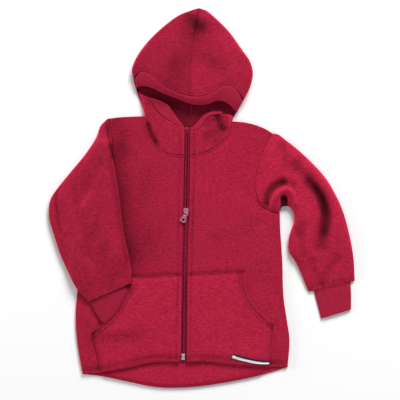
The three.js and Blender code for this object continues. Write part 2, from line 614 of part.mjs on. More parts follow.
function sliderOutline() {
  const { length, width } = SLIDER;
  const shape = new THREE.Shape();
  shape.moveTo(-width * 0.36, -length / 2);
  shape.lineTo(width * 0.36, -length / 2);
  shape.quadraticCurveTo(width * 0.42, -length * 0.1, width / 2, length * 0.18);
  shape.quadraticCurveTo(width / 2, length / 2, width * 0.22, length / 2);
  shape.quadraticCurveTo(0, length * 0.4, -width * 0.22, length / 2);
  shape.quadraticCurveTo(-width / 2, length / 2, -width / 2, length * 0.18);
  shape.quadraticCurveTo(-width * 0.42, -length * 0.1, -width * 0.36, -length / 2);
  return shape;
}

function bridgeSolid() {
  const shape = new THREE.Shape();
  const foot = -(PIVOT_Z - TOP_PLATE_TOP + 0.3);
  shape.moveTo(-BRIDGE.outer, foot);
  shape.lineTo(-BRIDGE.inner, foot);
  shape.lineTo(-BRIDGE.inner, 0);
  shape.absarc(0, 0, BRIDGE.inner, Math.PI, 0, true);
  shape.lineTo(BRIDGE.inner, foot);
  shape.lineTo(BRIDGE.outer, foot);
  shape.lineTo(BRIDGE.outer, 0);
  shape.absarc(0, 0, BRIDGE.outer, 0, Math.PI, false);
  const geometry = new THREE.ExtrudeGeometry(shape, { depth: BRIDGE.width, bevelEnabled: false,
    curveSegments: 8 });
  geometry.translate(0, 0, -BRIDGE.width / 2);
  geometry.rotateY(Math.PI / 2).rotateX(Math.PI / 2);
  return geometry.translate(0, PIVOT_Y - SLIDER_Y, PIVOT_Z);
}

const postShape = new THREE.Shape();
postShape.moveTo(-SLIDER.post / 2, 3.2);
postShape.lineTo(SLIDER.post / 2, 3.2);
postShape.lineTo(SLIDER.post / 2, SLIDER.length * 0.42);
postShape.lineTo(-SLIDER.post / 2, SLIDER.length * 0.42);
const BOTTOM_PLATE_BASE = TAPE_BASE - SEAM - SLIDER.plate;
const slider = join(
  plate(sliderOutline(), SLIDER.plate, TOP_PLATE_TOP - SLIDER.plate, 0.3),
  plate(sliderOutline(), SLIDER.plate, BOTTOM_PLATE_BASE, 0.3),
  plate(postShape, TOP_PLATE_TOP - BOTTOM_PLATE_BASE - SLIDER.plate,
    BOTTOM_PLATE_BASE + SLIDER.plate / 2),
  bridgeSolid(),
);
slider.translate(zipX(SLIDER_Y), SLIDER_Y, 0);
add('zip_slider', slider, metalLook);

// Pull tab: a cast plate with a window for the bridge and a round-ended hole near its broad end
function tabOutline() {
  const { length, neck, end } = TAB;
  const shape = new THREE.Shape();
  shape.moveTo(-neck, CROSSBAR_HALF);
  shape.lineTo(-neck, -5);
  shape.quadraticCurveTo(-neck, -9, -end, -length + 5);
  shape.quadraticCurveTo(-end, -length, 0, -length);
  shape.quadraticCurveTo(end, -length, end, -length + 5);
  shape.quadraticCurveTo(neck, -9, neck, -5);
  shape.lineTo(neck, CROSSBAR_HALF);
  const windowHole = new THREE.Path();
  windowHole.moveTo(-2.2, -CROSSBAR_HALF);
  windowHole.lineTo(-2.2, -4.8);
  windowHole.lineTo(2.2, -4.8);
  windowHole.lineTo(2.2, -CROSSBAR_HALF);
  const endHole = new THREE.Path();
  endHole.absellipse(0, -14.5, 3, 2.25, 0, 2 * Math.PI);
  shape.holes.push(windowHole, endHole);
  return shape;
}
const tab = plate(tabOutline(), TAB.thickness, -TAB.thickness / 2);
tab.rotateZ(-TAB.slew);
tab.translate(zipX(PIVOT_Y), PIVOT_Y, PIVOT_Z);
add('pull_tab', fromSolid(toSolid(tab)), metalLook);

// Bottom stop: a waisted block clamped over both tapes, with a small hole
const stopShape = new THREE.Shape();
stopShape.moveTo(-3.4, 0);
stopShape.lineTo(3.4, 0);
stopShape.quadraticCurveTo(3.8, 3.5, 2.4, STOP_LENGTH / 2);
stopShape.quadraticCurveTo(3.8, 8, 3.1, STOP_LENGTH);
stopShape.lineTo(-3.1, STOP_LENGTH);
stopShape.quadraticCurveTo(-3.8, 8, -2.4, STOP_LENGTH / 2);
stopShape.quadraticCurveTo(-3.8, 3.5, -3.4, 0);
const stopHole = new THREE.Path();
stopHole.absarc(0, STOP_LENGTH * 0.45, 1, 0, 2 * Math.PI);
stopShape.holes.push(stopHole);
const stop = plate(stopShape, 2.6, CHAIN_BASE);
stop.translate(zipX(ZIP_Y_BOTTOM + 1), ZIP_Y_BOTTOM + 1, 0);
add('bottom_stop', fromSolid(toSolid(stop)), stopLook);

// The origin is under the middle of the whole garment, on the table.
const bounds = new THREE.Box3().setFromObject(hoodie);
const middle = bounds.getCenter(new THREE.Vector3());
hoodie.position.set(-middle.x, -middle.y, -bounds.min.z);

export default hoodie;
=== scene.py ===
import bpy
import json
import math
import numpy as np
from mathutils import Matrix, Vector

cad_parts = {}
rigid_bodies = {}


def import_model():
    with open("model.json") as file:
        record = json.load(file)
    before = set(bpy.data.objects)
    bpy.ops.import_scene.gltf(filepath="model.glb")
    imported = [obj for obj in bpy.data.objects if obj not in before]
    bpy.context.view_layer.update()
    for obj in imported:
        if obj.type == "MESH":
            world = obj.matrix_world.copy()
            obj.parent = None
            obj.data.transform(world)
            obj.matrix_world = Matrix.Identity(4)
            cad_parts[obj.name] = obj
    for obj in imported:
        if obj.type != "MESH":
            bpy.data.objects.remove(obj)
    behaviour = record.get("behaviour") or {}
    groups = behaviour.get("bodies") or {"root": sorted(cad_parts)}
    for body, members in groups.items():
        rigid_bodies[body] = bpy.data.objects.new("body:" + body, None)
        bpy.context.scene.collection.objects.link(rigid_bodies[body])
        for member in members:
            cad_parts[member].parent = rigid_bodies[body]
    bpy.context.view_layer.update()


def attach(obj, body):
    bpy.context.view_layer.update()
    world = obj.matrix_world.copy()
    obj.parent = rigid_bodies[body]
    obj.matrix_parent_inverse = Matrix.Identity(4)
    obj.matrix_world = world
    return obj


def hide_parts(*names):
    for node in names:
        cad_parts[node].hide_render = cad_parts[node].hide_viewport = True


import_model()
for node in bpy.context.scene.objects:
    node.select_set(False)

# The hoodie lies on a white table under soft light, brightest from the upper right,
# and is seen from straight above. The camera stands far off, so nothing looks leaned.
MM = 0.001
VIEW_CENTRE = (-0.00360, -0.00384)
VIEW_WIDTH = 0.780
CAMERA_HEIGHT = 4.0
SENSOR = 36.0

camera_data = bpy.data.cameras.new("camera")
camera_data.sensor_width = SENSOR
camera_data.lens = SENSOR * CAMERA_HEIGHT / VIEW_WIDTH
camera_data.clip_end = 20.0
camera = bpy.data.objects.new("camera", camera_data)
camera.location = (*VIEW_CENTRE, CAMERA_HEIGHT)
bpy.context.collection.objects.link(camera)
bpy.context.scene.camera = camera

for name, place, size, watts in (
        ("key_above", (1.1, 3.4, 2.3), 2.0, 228),
        ("fill_lower_right", (1.3, -1.5, 1.8), 1.4, 10),
        ("fill_left", (-2.6, 0.2, 0.75), 1.0, 30)):
    lamp = bpy.data.lights.new(name, "AREA")
    lamp.shape = "DISK"
    lamp.size = size
    lamp.energy = watts
    lamp_object = bpy.data.objects.new(name, lamp)
    lamp_object.location = place
    lamp_object.rotation_euler = (-Vector(place)).to_track_quat("-Z", "Y").to_euler()
    bpy.context.collection.objects.link(lamp_object)

world = bpy.data.worlds.new("studio")
world.use_nodes = True
sky = world.node_tree.nodes["Background"]
sky.inputs["Color"].default_value = (1, 1, 1, 1)
sky.inputs["Strength"].default_value = 0.33
bpy.context.scene.world = world
bpy.context.scene.view_settings.view_transform = "Standard"


def new_material(name, **values):
    """A material, its node tree and its shader, whose sockets get the values given."""
    material = bpy.data.materials.new(name)
    material.use_nodes = True
    shader = material.node_tree.nodes["Principled BSDF"]
    for socket, value in values.items():
        shader.inputs[socket.replace("_", " ")].default_value = value
    return material, material.node_tree, shader


bpy.ops.mesh.primitive_plane_add(size=6.0, location=(0, 0, -0.0003))
table_top = bpy.context.object
table_top.name = "table_top"
table_top.select_set(False)
white_table = new_material("white_table", Base_Color=(0.89, 0.89, 0.89, 1), Roughness=0.9)[0]
table_top.data.materials.append(white_table)

# Back panel: one piece of brushed fleece, cut with a longer rounded tail, lying flat under
# everything else. All the fleece pieces share this cloth, its wall and its way of making.
FLEECE = 3.0  # mm, brushed on both sides
SEAM = 0.3
LAY = (-1.65, 0.06)  # mm, from the drawing's zero to the frame's origin


def smooth(start, stop, value):
    """A soft step from 0 at the start to 1 at the stop."""
    t = np.clip((value - start) / (stop - start), 0, 1)
    return t * t * (3 - 2 * t)


def bend_through(points, steps=16):
    """A soft curve through the points, closely sampled."""
    p = np.array(points, float)
    if len(p) == 2:
        return np.linspace(p[0], p[1], steps)
    p = np.vstack([2 * p[0] - p[1], p, 2 * p[-1] - p[-2]])
    rows = []
    for k in range(1, len(p) - 2):
        gaps = [max(np.linalg.norm(p[k + i] - p[k + i - 1]), 1e-6) ** 0.5 for i in (0, 1, 2)]
        before = (p[k] - p[k - 1]) / gaps[0] - (p[k + 1] - p[k - 1]) / (gaps[0] + gaps[1])
        after = (p[k + 1] - p[k]) / gaps[1] - (p[k + 2] - p[k]) / (gaps[1] + gaps[2])
        start = (before + (p[k + 1] - p[k]) / gaps[1]) * gaps[1]
        stop = (after + (p[k + 2] - p[k + 1]) / gaps[2]) * gaps[1]
        t = np.linspace(0, 1, steps, endpoint=False)[:, None]
        rows.append((2 * t**3 - 3 * t**2 + 1) * p[k] + (t**3 - 2 * t**2 + t) * start
                    + (3 * t**2 - 2 * t**3) * p[k + 1] + (t**3 - t**2) * stop)
    rows.append(p[-2][None])
    return np.vstack(rows)


def along(line, t):
    """Points at the shares t of a sampled line's length."""
    line = np.asarray(line, float)
    steps = np.linalg.norm(np.diff(line, axis=0), axis=1)
    reach = np.concatenate([[0], np.cumsum(steps)])
    where = np.clip(t, 0, 1) * reach[-1]
    return np.stack([np.interp(where, reach, line[:, i]) for i in range(line.shape[1])], axis=-1)


def edge(*runs):
    """An edge of runs with equal shares of its parameter, soft in a run and cornered between."""
    lines = [bend_through(run) for run in runs]

    def at(t):
        t = np.asarray(t, float)
        k = np.clip((t * len(lines)).astype(int), 0, len(lines) - 1)
        out = np.zeros(t.shape + (2,))
        for number, line in enumerate(lines):
            chosen = k == number
            out[chosen] = along(line, t[chosen] * len(lines) - number)
        return out
    return at


def patch(bottom, top, left, right):
    """Fills four edges; bottom and top run left to right, left and right run upwards."""
    corners = [bottom(np.array([0.0]))[0], bottom(np.array([1.0]))[0],
               top(np.array([0.0]))[0], top(np.array([1.0]))[0]]

    def at(s, t):
        shape = np.broadcast(s, t).shape
        s, t = np.broadcast_to(s, shape), np.broadcast_to(t, shape)
        a, b = s[..., None], t[..., None]
        return (bottom(s) * (1 - b) + top(s) * b + left(t) * (1 - a) + right(t) * a
                - corners[0] * (1 - a) * (1 - b) - corners[1] * a * (1 - b)
                - corners[2] * (1 - a) * b - corners[3] * a * b)
    return at


def distance_to(line, x, y):
    """Distance from each point to a polyline."""
    nearest = np.full(np.shape(x), 1e9)
    for (ax, ay), (bx, by) in zip(line[:-1], line[1:]):
        dx, dy = bx - ax, by - ay
        t = np.clip(((x - ax) * dx + (y - ay) * dy) / (dx * dx + dy * dy + 1e-9), 0, 1)
        nearest = np.minimum(nearest, np.hypot(x - ax - t * dx, y - ay - t * dy))
    return nearest


def fold(line, reach, rise):
    """A soft ridge, or a trough where rise is below zero, along a line."""
    line = bend_through(line, 6)

    def height(x, y):
        share = 1 - np.clip(distance_to(line, x, y) / reach, 0, 1)
        return rise * share * share * (3 - 2 * share)
    return height


def groove(line, away, depth, width=1.9):
    """The narrow furrow that a row of stitches pulls in, a distance away from a line."""
    line = np.asarray(line)

    def height(x, y):
        return -depth * np.exp(-(((distance_to(line, x, y) - away) / width) ** 2))
    return height


def shade_of_folds(rise):
    """How much painted shade the bottom of a fold gets, more where it is deeper."""
    return 1 - np.exp(-((np.maximum(-rise, 0) / 4) ** 1.5))


def shade_strip(line, away, strength, width):
    """A soft strip of painted shade along a line, as beside a seam or under cloth on top."""
    return groove(line, away, -strength, width)


def total(shapes, x, y):
    """What all the shapes add up to at each point."""
    return sum((shape(x, y) for shape in shapes), np.zeros_like(x))


def waviness(x, y, size, depth, seed):
    """Broad uneven rise and fall of cloth that lies loose, from a few crossed waves."""
    turns = np.random.default_rng(seed).uniform(0, 2 * math.pi, (5, 2))
    swell = 0.0
    for number, (heading, phase) in enumerate(turns):
        wave = 2 * math.pi / (size * (0.7 + 0.25 * number))
        swell = swell + np.sin(wave * (x * math.cos(heading) + y * math.sin(heading)) + phase)
    return depth * swell / 5


def marks(count, length, radius):
    """Shares across a panel, closer together where its edges round over."""
    near = np.array([0, 0.12, 0.4, 0.8, 1.3]) * radius / length
    return np.concatenate([near, np.linspace(near[-1], 1 - near[-1], count + 2)[1:-1], (1 - near)[::-1]])


def rounding(shares, length, radius):
    """How far a face drops towards a rounded edge."""
    away = np.minimum(shares, 1 - shares) * length
    lean = np.clip(1 - away / radius, 0, 1)
    return radius * (1 - np.sqrt(1 - np.minimum(lean, 0.995) ** 2))


def mesh_piece(name, points, faces, uv=None, painted_shade=None):
    """A piece from points in drawing millimetres, smooth shaded, its place in its mesh."""
    points = np.asarray(points, float).reshape(-1, 3)
    placed = (points + np.array([*LAY, 0])) * MM
    mesh = bpy.data.meshes.new(name)
    mesh.from_pydata(placed.tolist(), [], faces)
    mesh.update()
    if uv is not None:
        layer = mesh.uv_layers.new(name="cloth")
        loops = np.empty(len(mesh.loops), dtype=np.int64)
        mesh.loops.foreach_get("vertex_index", loops)
        layer.data.foreach_set("uv", (np.asarray(uv).reshape(-1, 2)[loops] * MM).ravel())
    # Painted shade per point, which the cloth material darkens the colour by.
    if painted_shade is not None:
        layer = mesh.attributes.new("painted_shade", "FLOAT", "POINT")
        layer.data.foreach_set("value", np.clip(painted_shade, 0, 1).astype(np.float32).ravel())
    mesh.shade_smooth()
    piece = bpy.data.objects.new(name, mesh)
    bpy.context.collection.objects.link(piece)
    return piece


def wall_faces(columns, rows, closed=False):
    """Faces of a wall whose outer grid comes first and inner grid second."""
    width = columns if closed else columns + 1
    inner = width * (rows + 1)
    i, j = np.meshgrid(np.arange(columns), np.arange(rows))
    a, b = (j * width + i).ravel(), (j * width + (i + 1) % width).ravel()
    c, d = ((j + 1) * width + (i + 1) % width).ravel(), ((j + 1) * width + i).ravel()
    outer = np.stack([a, b, c, d], 1)
    faces = [outer, (outer + inner)[:, ::-1]]
    k = np.arange(columns)
    k1 = (k + 1) % width
    last = rows * width
    faces.append(np.stack([k1, k, k + inner, k1 + inner], 1))
    faces.append(np.stack([k + last, k1 + last, k1 + last + inner, k + last + inner], 1))
    if not closed:
        m = np.arange(rows)
        faces.append(np.stack([m * width, (m + 1) * width, (m + 1) * width + inner, m * width + inner], 1))
        far = m * width + columns
        faces.append(np.stack([far + width, far, far + inner, far + width + inner], 1))
    return np.vstack(faces).tolist()


def on_table(x, y, s=None, t=None):
    """The underside of cloth that lies on the table."""
    return np.zeros_like(x)


def panel(name, edges, underside, thickness, size, spacing, relief=(), shade_marks=()):
    """A flat-lying piece of cloth with rounded edges and its upper face's relief, all in mm."""
    place = patch(*edges)
    radius = thickness / 2
    s = marks(int(size[0] / spacing), size[0], radius)
    t = marks(int(size[1] / spacing), size[1], radius)
    grid_s, grid_t = np.meshgrid(s, t)
    xy = place(grid_s, grid_t)
    x, y = xy[..., 0], xy[..., 1]
    drop = np.maximum(rounding(grid_s, size[0], radius), rounding(grid_t, size[1], radius))
    rise = total(relief, x, y)
    # Painted shade: more at the bottom of troughs, plus the piece's own strips and patches of it.
    painted_shade = shade_of_folds(rise) + total(shade_marks, x, y)
    rise = rise * np.clip(1 - drop / radius, 0, 1)
    base = underside(x, y, grid_s, grid_t)
    outer = np.dstack([x, y, base + thickness - drop + rise])
    inner = np.dstack([x, y, base + drop])
    uv = np.dstack([grid_s * size[0], grid_t * size[1]])
    points = np.concatenate([outer.reshape(-1, 3), inner.reshape(-1, 3)])
    uvs = np.concatenate([uv.reshape(-1, 2), uv.reshape(-1, 2)])
    return mesh_piece(name, points, wall_faces(len(s) - 1, len(t) - 1), uvs, [painted_shade, 0 * painted_shade])


def stands_for(piece, node, material, body="garment"):
    """Gives a piece its material and slot, and sets it on its body in place of a solid."""
    piece.data.materials.append(material)
    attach(piece, body)
    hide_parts(node)


def laid(piece, node, material):
    """Sets a cloth piece in place of its solid."""
    stands_for(piece, node, material)


def shading(tree, kind, settings=None, links=None, numbered=None, **values):
    """Adds a shader node: values set sockets by name, numbered by number, links from outputs."""
    made = tree.nodes.new(kind)
    for setting, value in (settings or {}).items():
        setattr(made, setting, value)
    for socket, value in values.items():
        made.inputs[socket.replace("_", " ")].default_value = value
    for socket, value in (numbered or {}).items():
        made.inputs[socket].default_value = value
    for socket, source in (links or {}).items():
        tree.links.new(source, made.inputs[socket])
    return made


def effect_group(name, inputs, outputs):
    """A shader node group with named sockets; returns it, what enters it and what leaves it."""
    group = bpy.data.node_groups.new(name, "ShaderNodeTree")
    for way, sockets in (("INPUT", inputs), ("OUTPUT", outputs)):
        for socket, kind in sockets.items():
            group.interface.new_socket(name=socket, in_out=way, socket_type="NodeSocket" + kind)
    return group, group.nodes.new("NodeGroupInput").outputs, group.nodes.new("NodeGroupOutput").inputs


# The shader effect that all the cloths share: flecks of two tones in soft clouds, and a nap.
heather, entry, leave = effect_group(
    "heather", {"Vector": "Vector", "Fleck": "Float", "Cloud": "Float", "Dark": "Color", "Light": "Color"},
    {"Color": "Color", "Height": "Float"})
stretch = shading(heather, "ShaderNodeMapping", links={"Vector": entry["Vector"]}, Scale=(0.45, 1.0, 1.0))
flecks = shading(heather, "ShaderNodeTexNoise", Detail=4.0, Roughness=0.7,
                 links={"Vector": stretch.outputs[0], "Scale": entry["Fleck"]})
cloud = shading(heather, "ShaderNodeTexNoise", Detail=3.0, Roughness=0.55,
                links={"Vector": entry["Vector"], "Scale": entry["Cloud"]})
fibres = shading(heather, "ShaderNodeTexNoise", Scale=1500.0, Detail=3.0, Roughness=0.65,
                 links={"Vector": stretch.outputs[0]})
clouded = shading(heather, "ShaderNodeMath", {"operation": "MULTIPLY"}, {0: cloud.outputs["Fac"]}, {1: 0.22})
flecked = shading(heather, "ShaderNodeMath", {"operation": "MULTIPLY_ADD"},
                  {0: flecks.outputs["Fac"], 2: clouded.outputs[0]}, {1: 1.3})
tone = shading(heather, "ShaderNodeMapRange", links={"Value": flecked.outputs[0]},
               From_Min=0.5, From_Max=1.02)
blend = shading(heather, "ShaderNodeMix", {"data_type": "RGBA"},
                {"Factor": tone.outputs[0], 6: entry["Dark"], 7: entry["Light"]})
nap = shading(heather, "ShaderNodeMath", {"operation": "MULTIPLY_ADD"},
              {0: fibres.outputs["Fac"], 2: flecks.outputs["Fac"]}, {1: 0.6})
heather.links.new(blend.outputs[2], leave["Color"])
heather.links.new(nap.outputs[0], leave["Height"])

PAINTED_SHADE_TINT = (0.13, 0.12, 0.14, 1)  # what is left of the colour under full painted shade
PAINTED_RIM_GAIN = 2.5  # how much lighter the painted rim light is than the cloth's light tone
FLEECE_TONES = ((0.235, 0.0062, 0.024), (0.43, 0.0165, 0.05))


def cloth_material(name, dark, light, fleck, cloud_scale, bump, depth, rim, roughness=0.95):
    """A matt cloth with heathered colour and nap, made lighter by a painted rim light where it turns
    away from view, as strongly as rim says, and darker by the painted shade given per point.

    Flecks and clouds are per metre, the nap's bump has a strength and a depth in metres.
    """
    material, tree, shader = new_material(
        name, Roughness=roughness, Specular_IOR_Level=0.05, Sheen_Weight=0.05, Sheen_Roughness=0.5,
        Sheen_Tint=(1.0, 0.5, 0.6, 1))
    place = tree.nodes.new("ShaderNodeTexCoord")
    effect = shading(tree, "ShaderNodeGroup", {"node_tree": heather}, {"Vector": place.outputs["Object"]},
                     Fleck=fleck, Cloud=cloud_scale, Dark=(*dark, 1), Light=(*light, 1))
    turned = shading(tree, "ShaderNodeLayerWeight", Blend=0.4)
    painted_rim_light = shading(tree, "ShaderNodeMapRange", links={"Value": turned.outputs["Facing"]},
                   From_Min=0.08, From_Max=0.75, To_Max=rim)
    lit = shading(tree, "ShaderNodeMix", {"data_type": "RGBA"},
                  {"Factor": painted_rim_light.outputs[0], 6: effect.outputs["Color"]},
                  {7: (*[min(PAINTED_RIM_GAIN * c, 1) for c in light], 1)})
    # Painted shade: the colour is darkened where the piece's per-point shade says.
    painted_shade_mask = shading(tree, "ShaderNodeAttribute", {"attribute_name": "painted_shade"})
    painted_shade = shading(tree, "ShaderNodeMix", {"data_type": "RGBA", "blend_type": "MULTIPLY"},
                      {"Factor": painted_shade_mask.outputs["Fac"], 6: lit.outputs[2]}, {7: PAINTED_SHADE_TINT})
    relief = shading(tree, "ShaderNodeBump", links={"Height": effect.outputs["Height"]},
                     Strength=bump, Distance=depth)
    tree.links.new(painted_shade.outputs[2], shader.inputs["Base Color"])
    tree.links.new(relief.outputs["Normal"], shader.inputs["Normal"])
    return material


def shaded_fleece(name, shade):
    """Brushed fleece in lit and shaded copies: the shade scales its tones, painted light and shade for each
    piece.
    """
    dark, light = [tuple(shade * c for c in tone) for tone in FLEECE_TONES]
    return cloth_material(name, dark, light, 340.0, 45.0, 0.6, 0.001, 0.75)


fleece = shaded_fleece("brushed_fleece", 1.0)

right_side = [(-236.9, -308.1), (-243.8, -247.7), (-240.6, -179.4), (-228.2, -97.5), (-212.5, -15.6)]
right_armhole = [(-212.5, -15.6), (-189.2, 15.6), (-176.5, 58.5), (-175.1, 99.5), (-183.3, 154)]
right_shoulder = [(-183.3, 153.3), (-165.8, 156), (-138.4, 157.9), (-109.2, 158.9)]
left_shoulder = [(61.4, 149.2), (85.8, 147), (111.1, 140.4), (128.7, 132.6), (140.4, 124.8)]
left_armhole = [(153.5, -28.3), (136.5, -24.6), (121.7, -17.9), (115.2, -4.7), (112.9, 11.7), (111.9, 27.3),
                (112.7, 41.9), (116, 62.4), (121.9, 80.9), (130.3, 102.4), (140.4, 124.8)]
left_side = [(172.4, -276.9), (167.3, -237.9), (161.5, -198.9), (159.5, -169.7), (158.7, -130.7),
             (156.4, -91.6), (154.4, -62.4), (153.5, -28.3)]
tail_line = [(-230.7, -343.2), (-195, -347.1), (-148.2, -356.8), (-87.8, -368.6), (-27.3, -369.1),
             (40.9, -360.8), (109.2, -347.1), (168.9, -329.6)]
back_neck = [(-109.2, 158.9), (-85.8, 146.2), (-56.5, 138.4), (-21.4, 135.5), (19.5, 137.5), (61.4, 149.2)]
back = panel(
    "back_cloth",
    (edge(tail_line), edge(right_shoulder, back_neck, left_shoulder),
     edge([(-230.7, -343.2), *right_side], right_armhole),
     edge([(168.9, -329.6), *left_side], left_armhole)),
    on_table, FLEECE, size=(400, 505), spacing=4.2,
    relief=[groove(bend_through(tail_line), 9.0, 0.8), lambda x, y: waviness(x, y, 90, 0.12, 3) - 0.12])
# Its fleece copy is lighter: painted light.
laid(back, "back_panel", shaded_fleece("fleece_back", 1.2))

# Front panels: two fleece pieces that meet at the zip. Each front edge is turned in over its
# zip tape and topstitched, and each hem is turned up and sewn with a twin needle.
TAPE_BASE = 5.2
TAPE = 0.7
FRONT_SIDE_BASE = FLEECE + SEAM
FRONT_ZIP_BASE = TAPE_BASE + TAPE + SEAM
PUFF_REACH = 60.0
EDGE_STITCH = 7.4  # mm from the front edge to its topstitch
HEM_ROWS = (8.5, 12.0)  # mm up from the hem's edge
NECK_STITCH = 3.6  # mm below the neck seam
STITCH_PITCH = 3.1
THREAD = 0.42
THREAD_LIFT = 0.12
STITCH_SHARE = 0.78  # of the pitch, that a stitch fills
ZIP_FOOT = -32.0
right_rows = np.array([(-230.7, -343.2), (-243.8, -247.7), (-240.6, -179.4), (-228.2, -97.5),
                       (-212.5, -15.6), (-189.2, 15.6), (-176.5, 58.5), (-183.3, 154)])
left_rows = np.array([(168.5, -329.6), (170.6, -267.1), (157.9, -161.8), (154.4, -72.1), (153.5, -29.2),
                      (111.1, 15.6), (119, 74.1), (140.4, 124.8)])
right_front_edge = [(-40.8, -318.8), (-33.5, 82.9)]
left_front_edge = [(-28.5, -318.8), (-27.3, -198.9), (-25.9, -111.1), (-22.8, -3.9), (-21.1, 82.9)]
right_hem = [(-230.1, -342.2), (-196, -340.5), (-146.2, -331.9), (-96.7, -320.8), (-45.4, -318.8),
             (-39.4, -318.8)]
left_hem = [(-28.5, -318.8), (11.7, -319), (63.6, -324.7), (119, -329.2), (168.5, -328.8)]
hem_line = np.array(right_hem[:4] + right_hem[5:] + left_hem[1:])
right_neck = [(-109.2, 158.9), (-104.5, 129.3), (-96.5, 111.3), (-86.6, 98.7), (-75.1, 90.3), (-56.5, 85),
              (-33.5, 82.9)]
left_neck = [(-21.1, 82.9), (-5.8, 84.6), (9.8, 88.9), (27.3, 98.7), (43.5, 112.3), (57.3, 132.2),
             (61.4, 149.2)]


def front_under(x, y, s=None, t=None):
    """Height of the fronts' underside, lowest at the side seams and highest at the zip."""
    from_right = x - np.interp(y, right_rows[:, 1], right_rows[:, 0])
    from_left = np.interp(y, left_rows[:, 1], left_rows[:, 0]) - x
    rise = smooth(2, PUFF_REACH, np.minimum(from_right, from_left))
    above_hem = y - np.interp(x, hem_line[:, 0], hem_line[:, 1])
    rise = rise * (1 - 0.9 * smooth(24, 2, above_hem) * smooth(14, 34, np.abs(x - ZIP_FOOT)))
    return FRONT_SIDE_BASE + (FRONT_ZIP_BASE - FRONT_SIDE_BASE) * rise


def on_front(x, y, s=None, t=None):
    """The underside of cloth that lies on the fronts."""
    return front_under(x, y) + FLEECE + SEAM


def beside(line, away):
    """A sampled line moved sideways, to the left of its run where away is above zero."""
    line = along(line, np.linspace(0, 1, max(8, len(line) * 2)))
    run = np.gradient(line, axis=0)
    run /= np.linalg.norm(run, axis=1)[:, None]
    return line + away * np.stack([-run[:, 1], run[:, 0]], 1)


def thread_rows(name, rows):
    """Sewing that shows: short rounded stitches along lines on a surface, as one piece."""
    sides, points, faces = 6, [], []
    ring = np.linspace(0, 2 * math.pi, sides, endpoint=False)
    for line, height in rows:
        line = np.asarray(line, float)
        length = np.linalg.norm(np.diff(line, axis=0), axis=1).sum()
        count = max(2, int(length / STITCH_PITCH))
        middles = along(line, (np.arange(count) + 0.5) / count)
        ahead = along(line, np.clip((np.arange(count) + 0.6) / count, 0, 1))
        run = ahead - middles
        run /= np.maximum(np.linalg.norm(run, axis=1), 1e-6)[:, None]
        across = np.stack([-run[:, 1], run[:, 0]], 1)
        level = height(middles[:, 0], middles[:, 1]) + THREAD_LIFT
        for k in range(count):
            start = len(points)
            for place, share in ((-0.42, 0.8), (0.0, 1.0), (0.42, 0.8)):
                centre = middles[k] + run[k] * place * STITCH_PITCH * STITCH_SHARE
                dip = -1.2 * THREAD * (abs(place) / 0.42) ** 2
                for angle in ring:
                    side = centre + across[k] * math.cos(angle) * THREAD * share * 1.25
                    points.append((*side, level[k] + dip + math.sin(angle) * THREAD * share))
            for place in (-0.5, 0.5):
                end = middles[k] + run[k] * place * STITCH_PITCH * STITCH_SHARE
                points.append((*end, level[k] - 2.2 * THREAD))
            tip = start + 3 * sides
            for a in range(start, start + sides):
                b = start + (a + 1 - start) % sides
                for shift in (0, sides):
                    faces.append((a + shift, b + shift, b + shift + sides, a + shift + sides))
                faces.append((b, a, tip))
                faces.append((a + 2 * sides, b + 2 * sides, tip + 1))
    piece = mesh_piece(name, points, faces)
    piece.data.materials.append(thread)
    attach(piece, "garment")


thread = cloth_material("sewing_thread", (0.09, 0.003, 0.011), (0.17, 0.006, 0.02), 900.0, 200.0, 0.3,
                        0.0002, 0.05, 0.7)


def rolled_edge(line):
    """A turned edge: a low roll beside the edge and a furrow under its topstitch."""
    furrow = groove(line, EDGE_STITCH, 1.9, 2.0)
    swell = groove(line, EDGE_STITCH * 0.45, -0.7, EDGE_STITCH * 0.4)
    return lambda x, y: furrow(x, y) + swell(x, y)


def puckers(line, away, depth, pitch, seed):
    """Small uneven ripples that sewing draws up beside a line."""
    line = np.asarray(line)
    slip = np.random.default_rng(seed).uniform(0, 6)

    def height(x, y):
        near = np.exp(-(((distance_to(line, x, y) - away) / 5.0) ** 2))
        travel = x * 0.83 + y * 0.56
        return depth * near * np.sin(2 * math.pi * travel / pitch + slip + 1.7 * np.sin(travel / 31.0))
    return height


def front_relief(edge_line, hem, neck, armhole, pocket_edge, seed):
    """Relief of a front: its turned edge and hem, its seams, and slack cloth between them."""
    edge_line, hem = bend_through(edge_line), bend_through(hem)
    return [rolled_edge(edge_line), *[groove(hem, away, 0.9, 1.5) for away in HEM_ROWS],
            groove(bend_through(neck), 3.8, 0.9), groove(bend_through(armhole), 0.0, 1.6, 2.6),
            groove(pocket_edge, 0.0, 1.0, 5.0),
            puckers(hem, 6.0, 0.16, 9.0, seed), puckers(edge_line, 9.0, 0.12, 12.0, seed + 1),
            lambda x, y: waviness(x, y, 120, 0.55, seed + 2) - 0.35]


pocket_top = [(-142.3, -153.3), (-37, -147.8)], [(-26.1, -148.2), (83.5, -141.4)]
right_front_relief = front_relief(right_front_edge, right_hem, right_neck, right_armhole, pocket_top[0], 11)
right_front_relief += [fold([(-165.8, 93.6), (-154, 3.9), (-144.3, -74.1), (-130.7, -136.5)], 30, -1.3),
                       fold([(-99.5, 42.9), (-119, -31.2), (-103.3, -105.3)], 30, -0.5),
                       fold([(-64.3, 50.7), (-56.5, -81.9)], 22, 0.15)]
left_front_relief = front_relief(left_front_edge, left_hem, left_neck, left_armhole, pocket_top[1], 21)
left_front_relief += [fold([(142.3, 31.2), (122.8, 11.7), (119, -15.6)], 16, -1.0),
                      fold([(107.2, -50.7), (68.2, -74.1), (21.4, -78)], 20, -0.6),
                      fold([(154, -198.9), (138.4, -159.9), (130.7, -124.8)], 16, -0.5)]


def shade_strips(*rows):
    """Strips of painted shade, each with its strength, its width in mm and its line."""
    return [shade_strip(bend_through(line), 0.0, strength, width) for strength, width, line in rows]
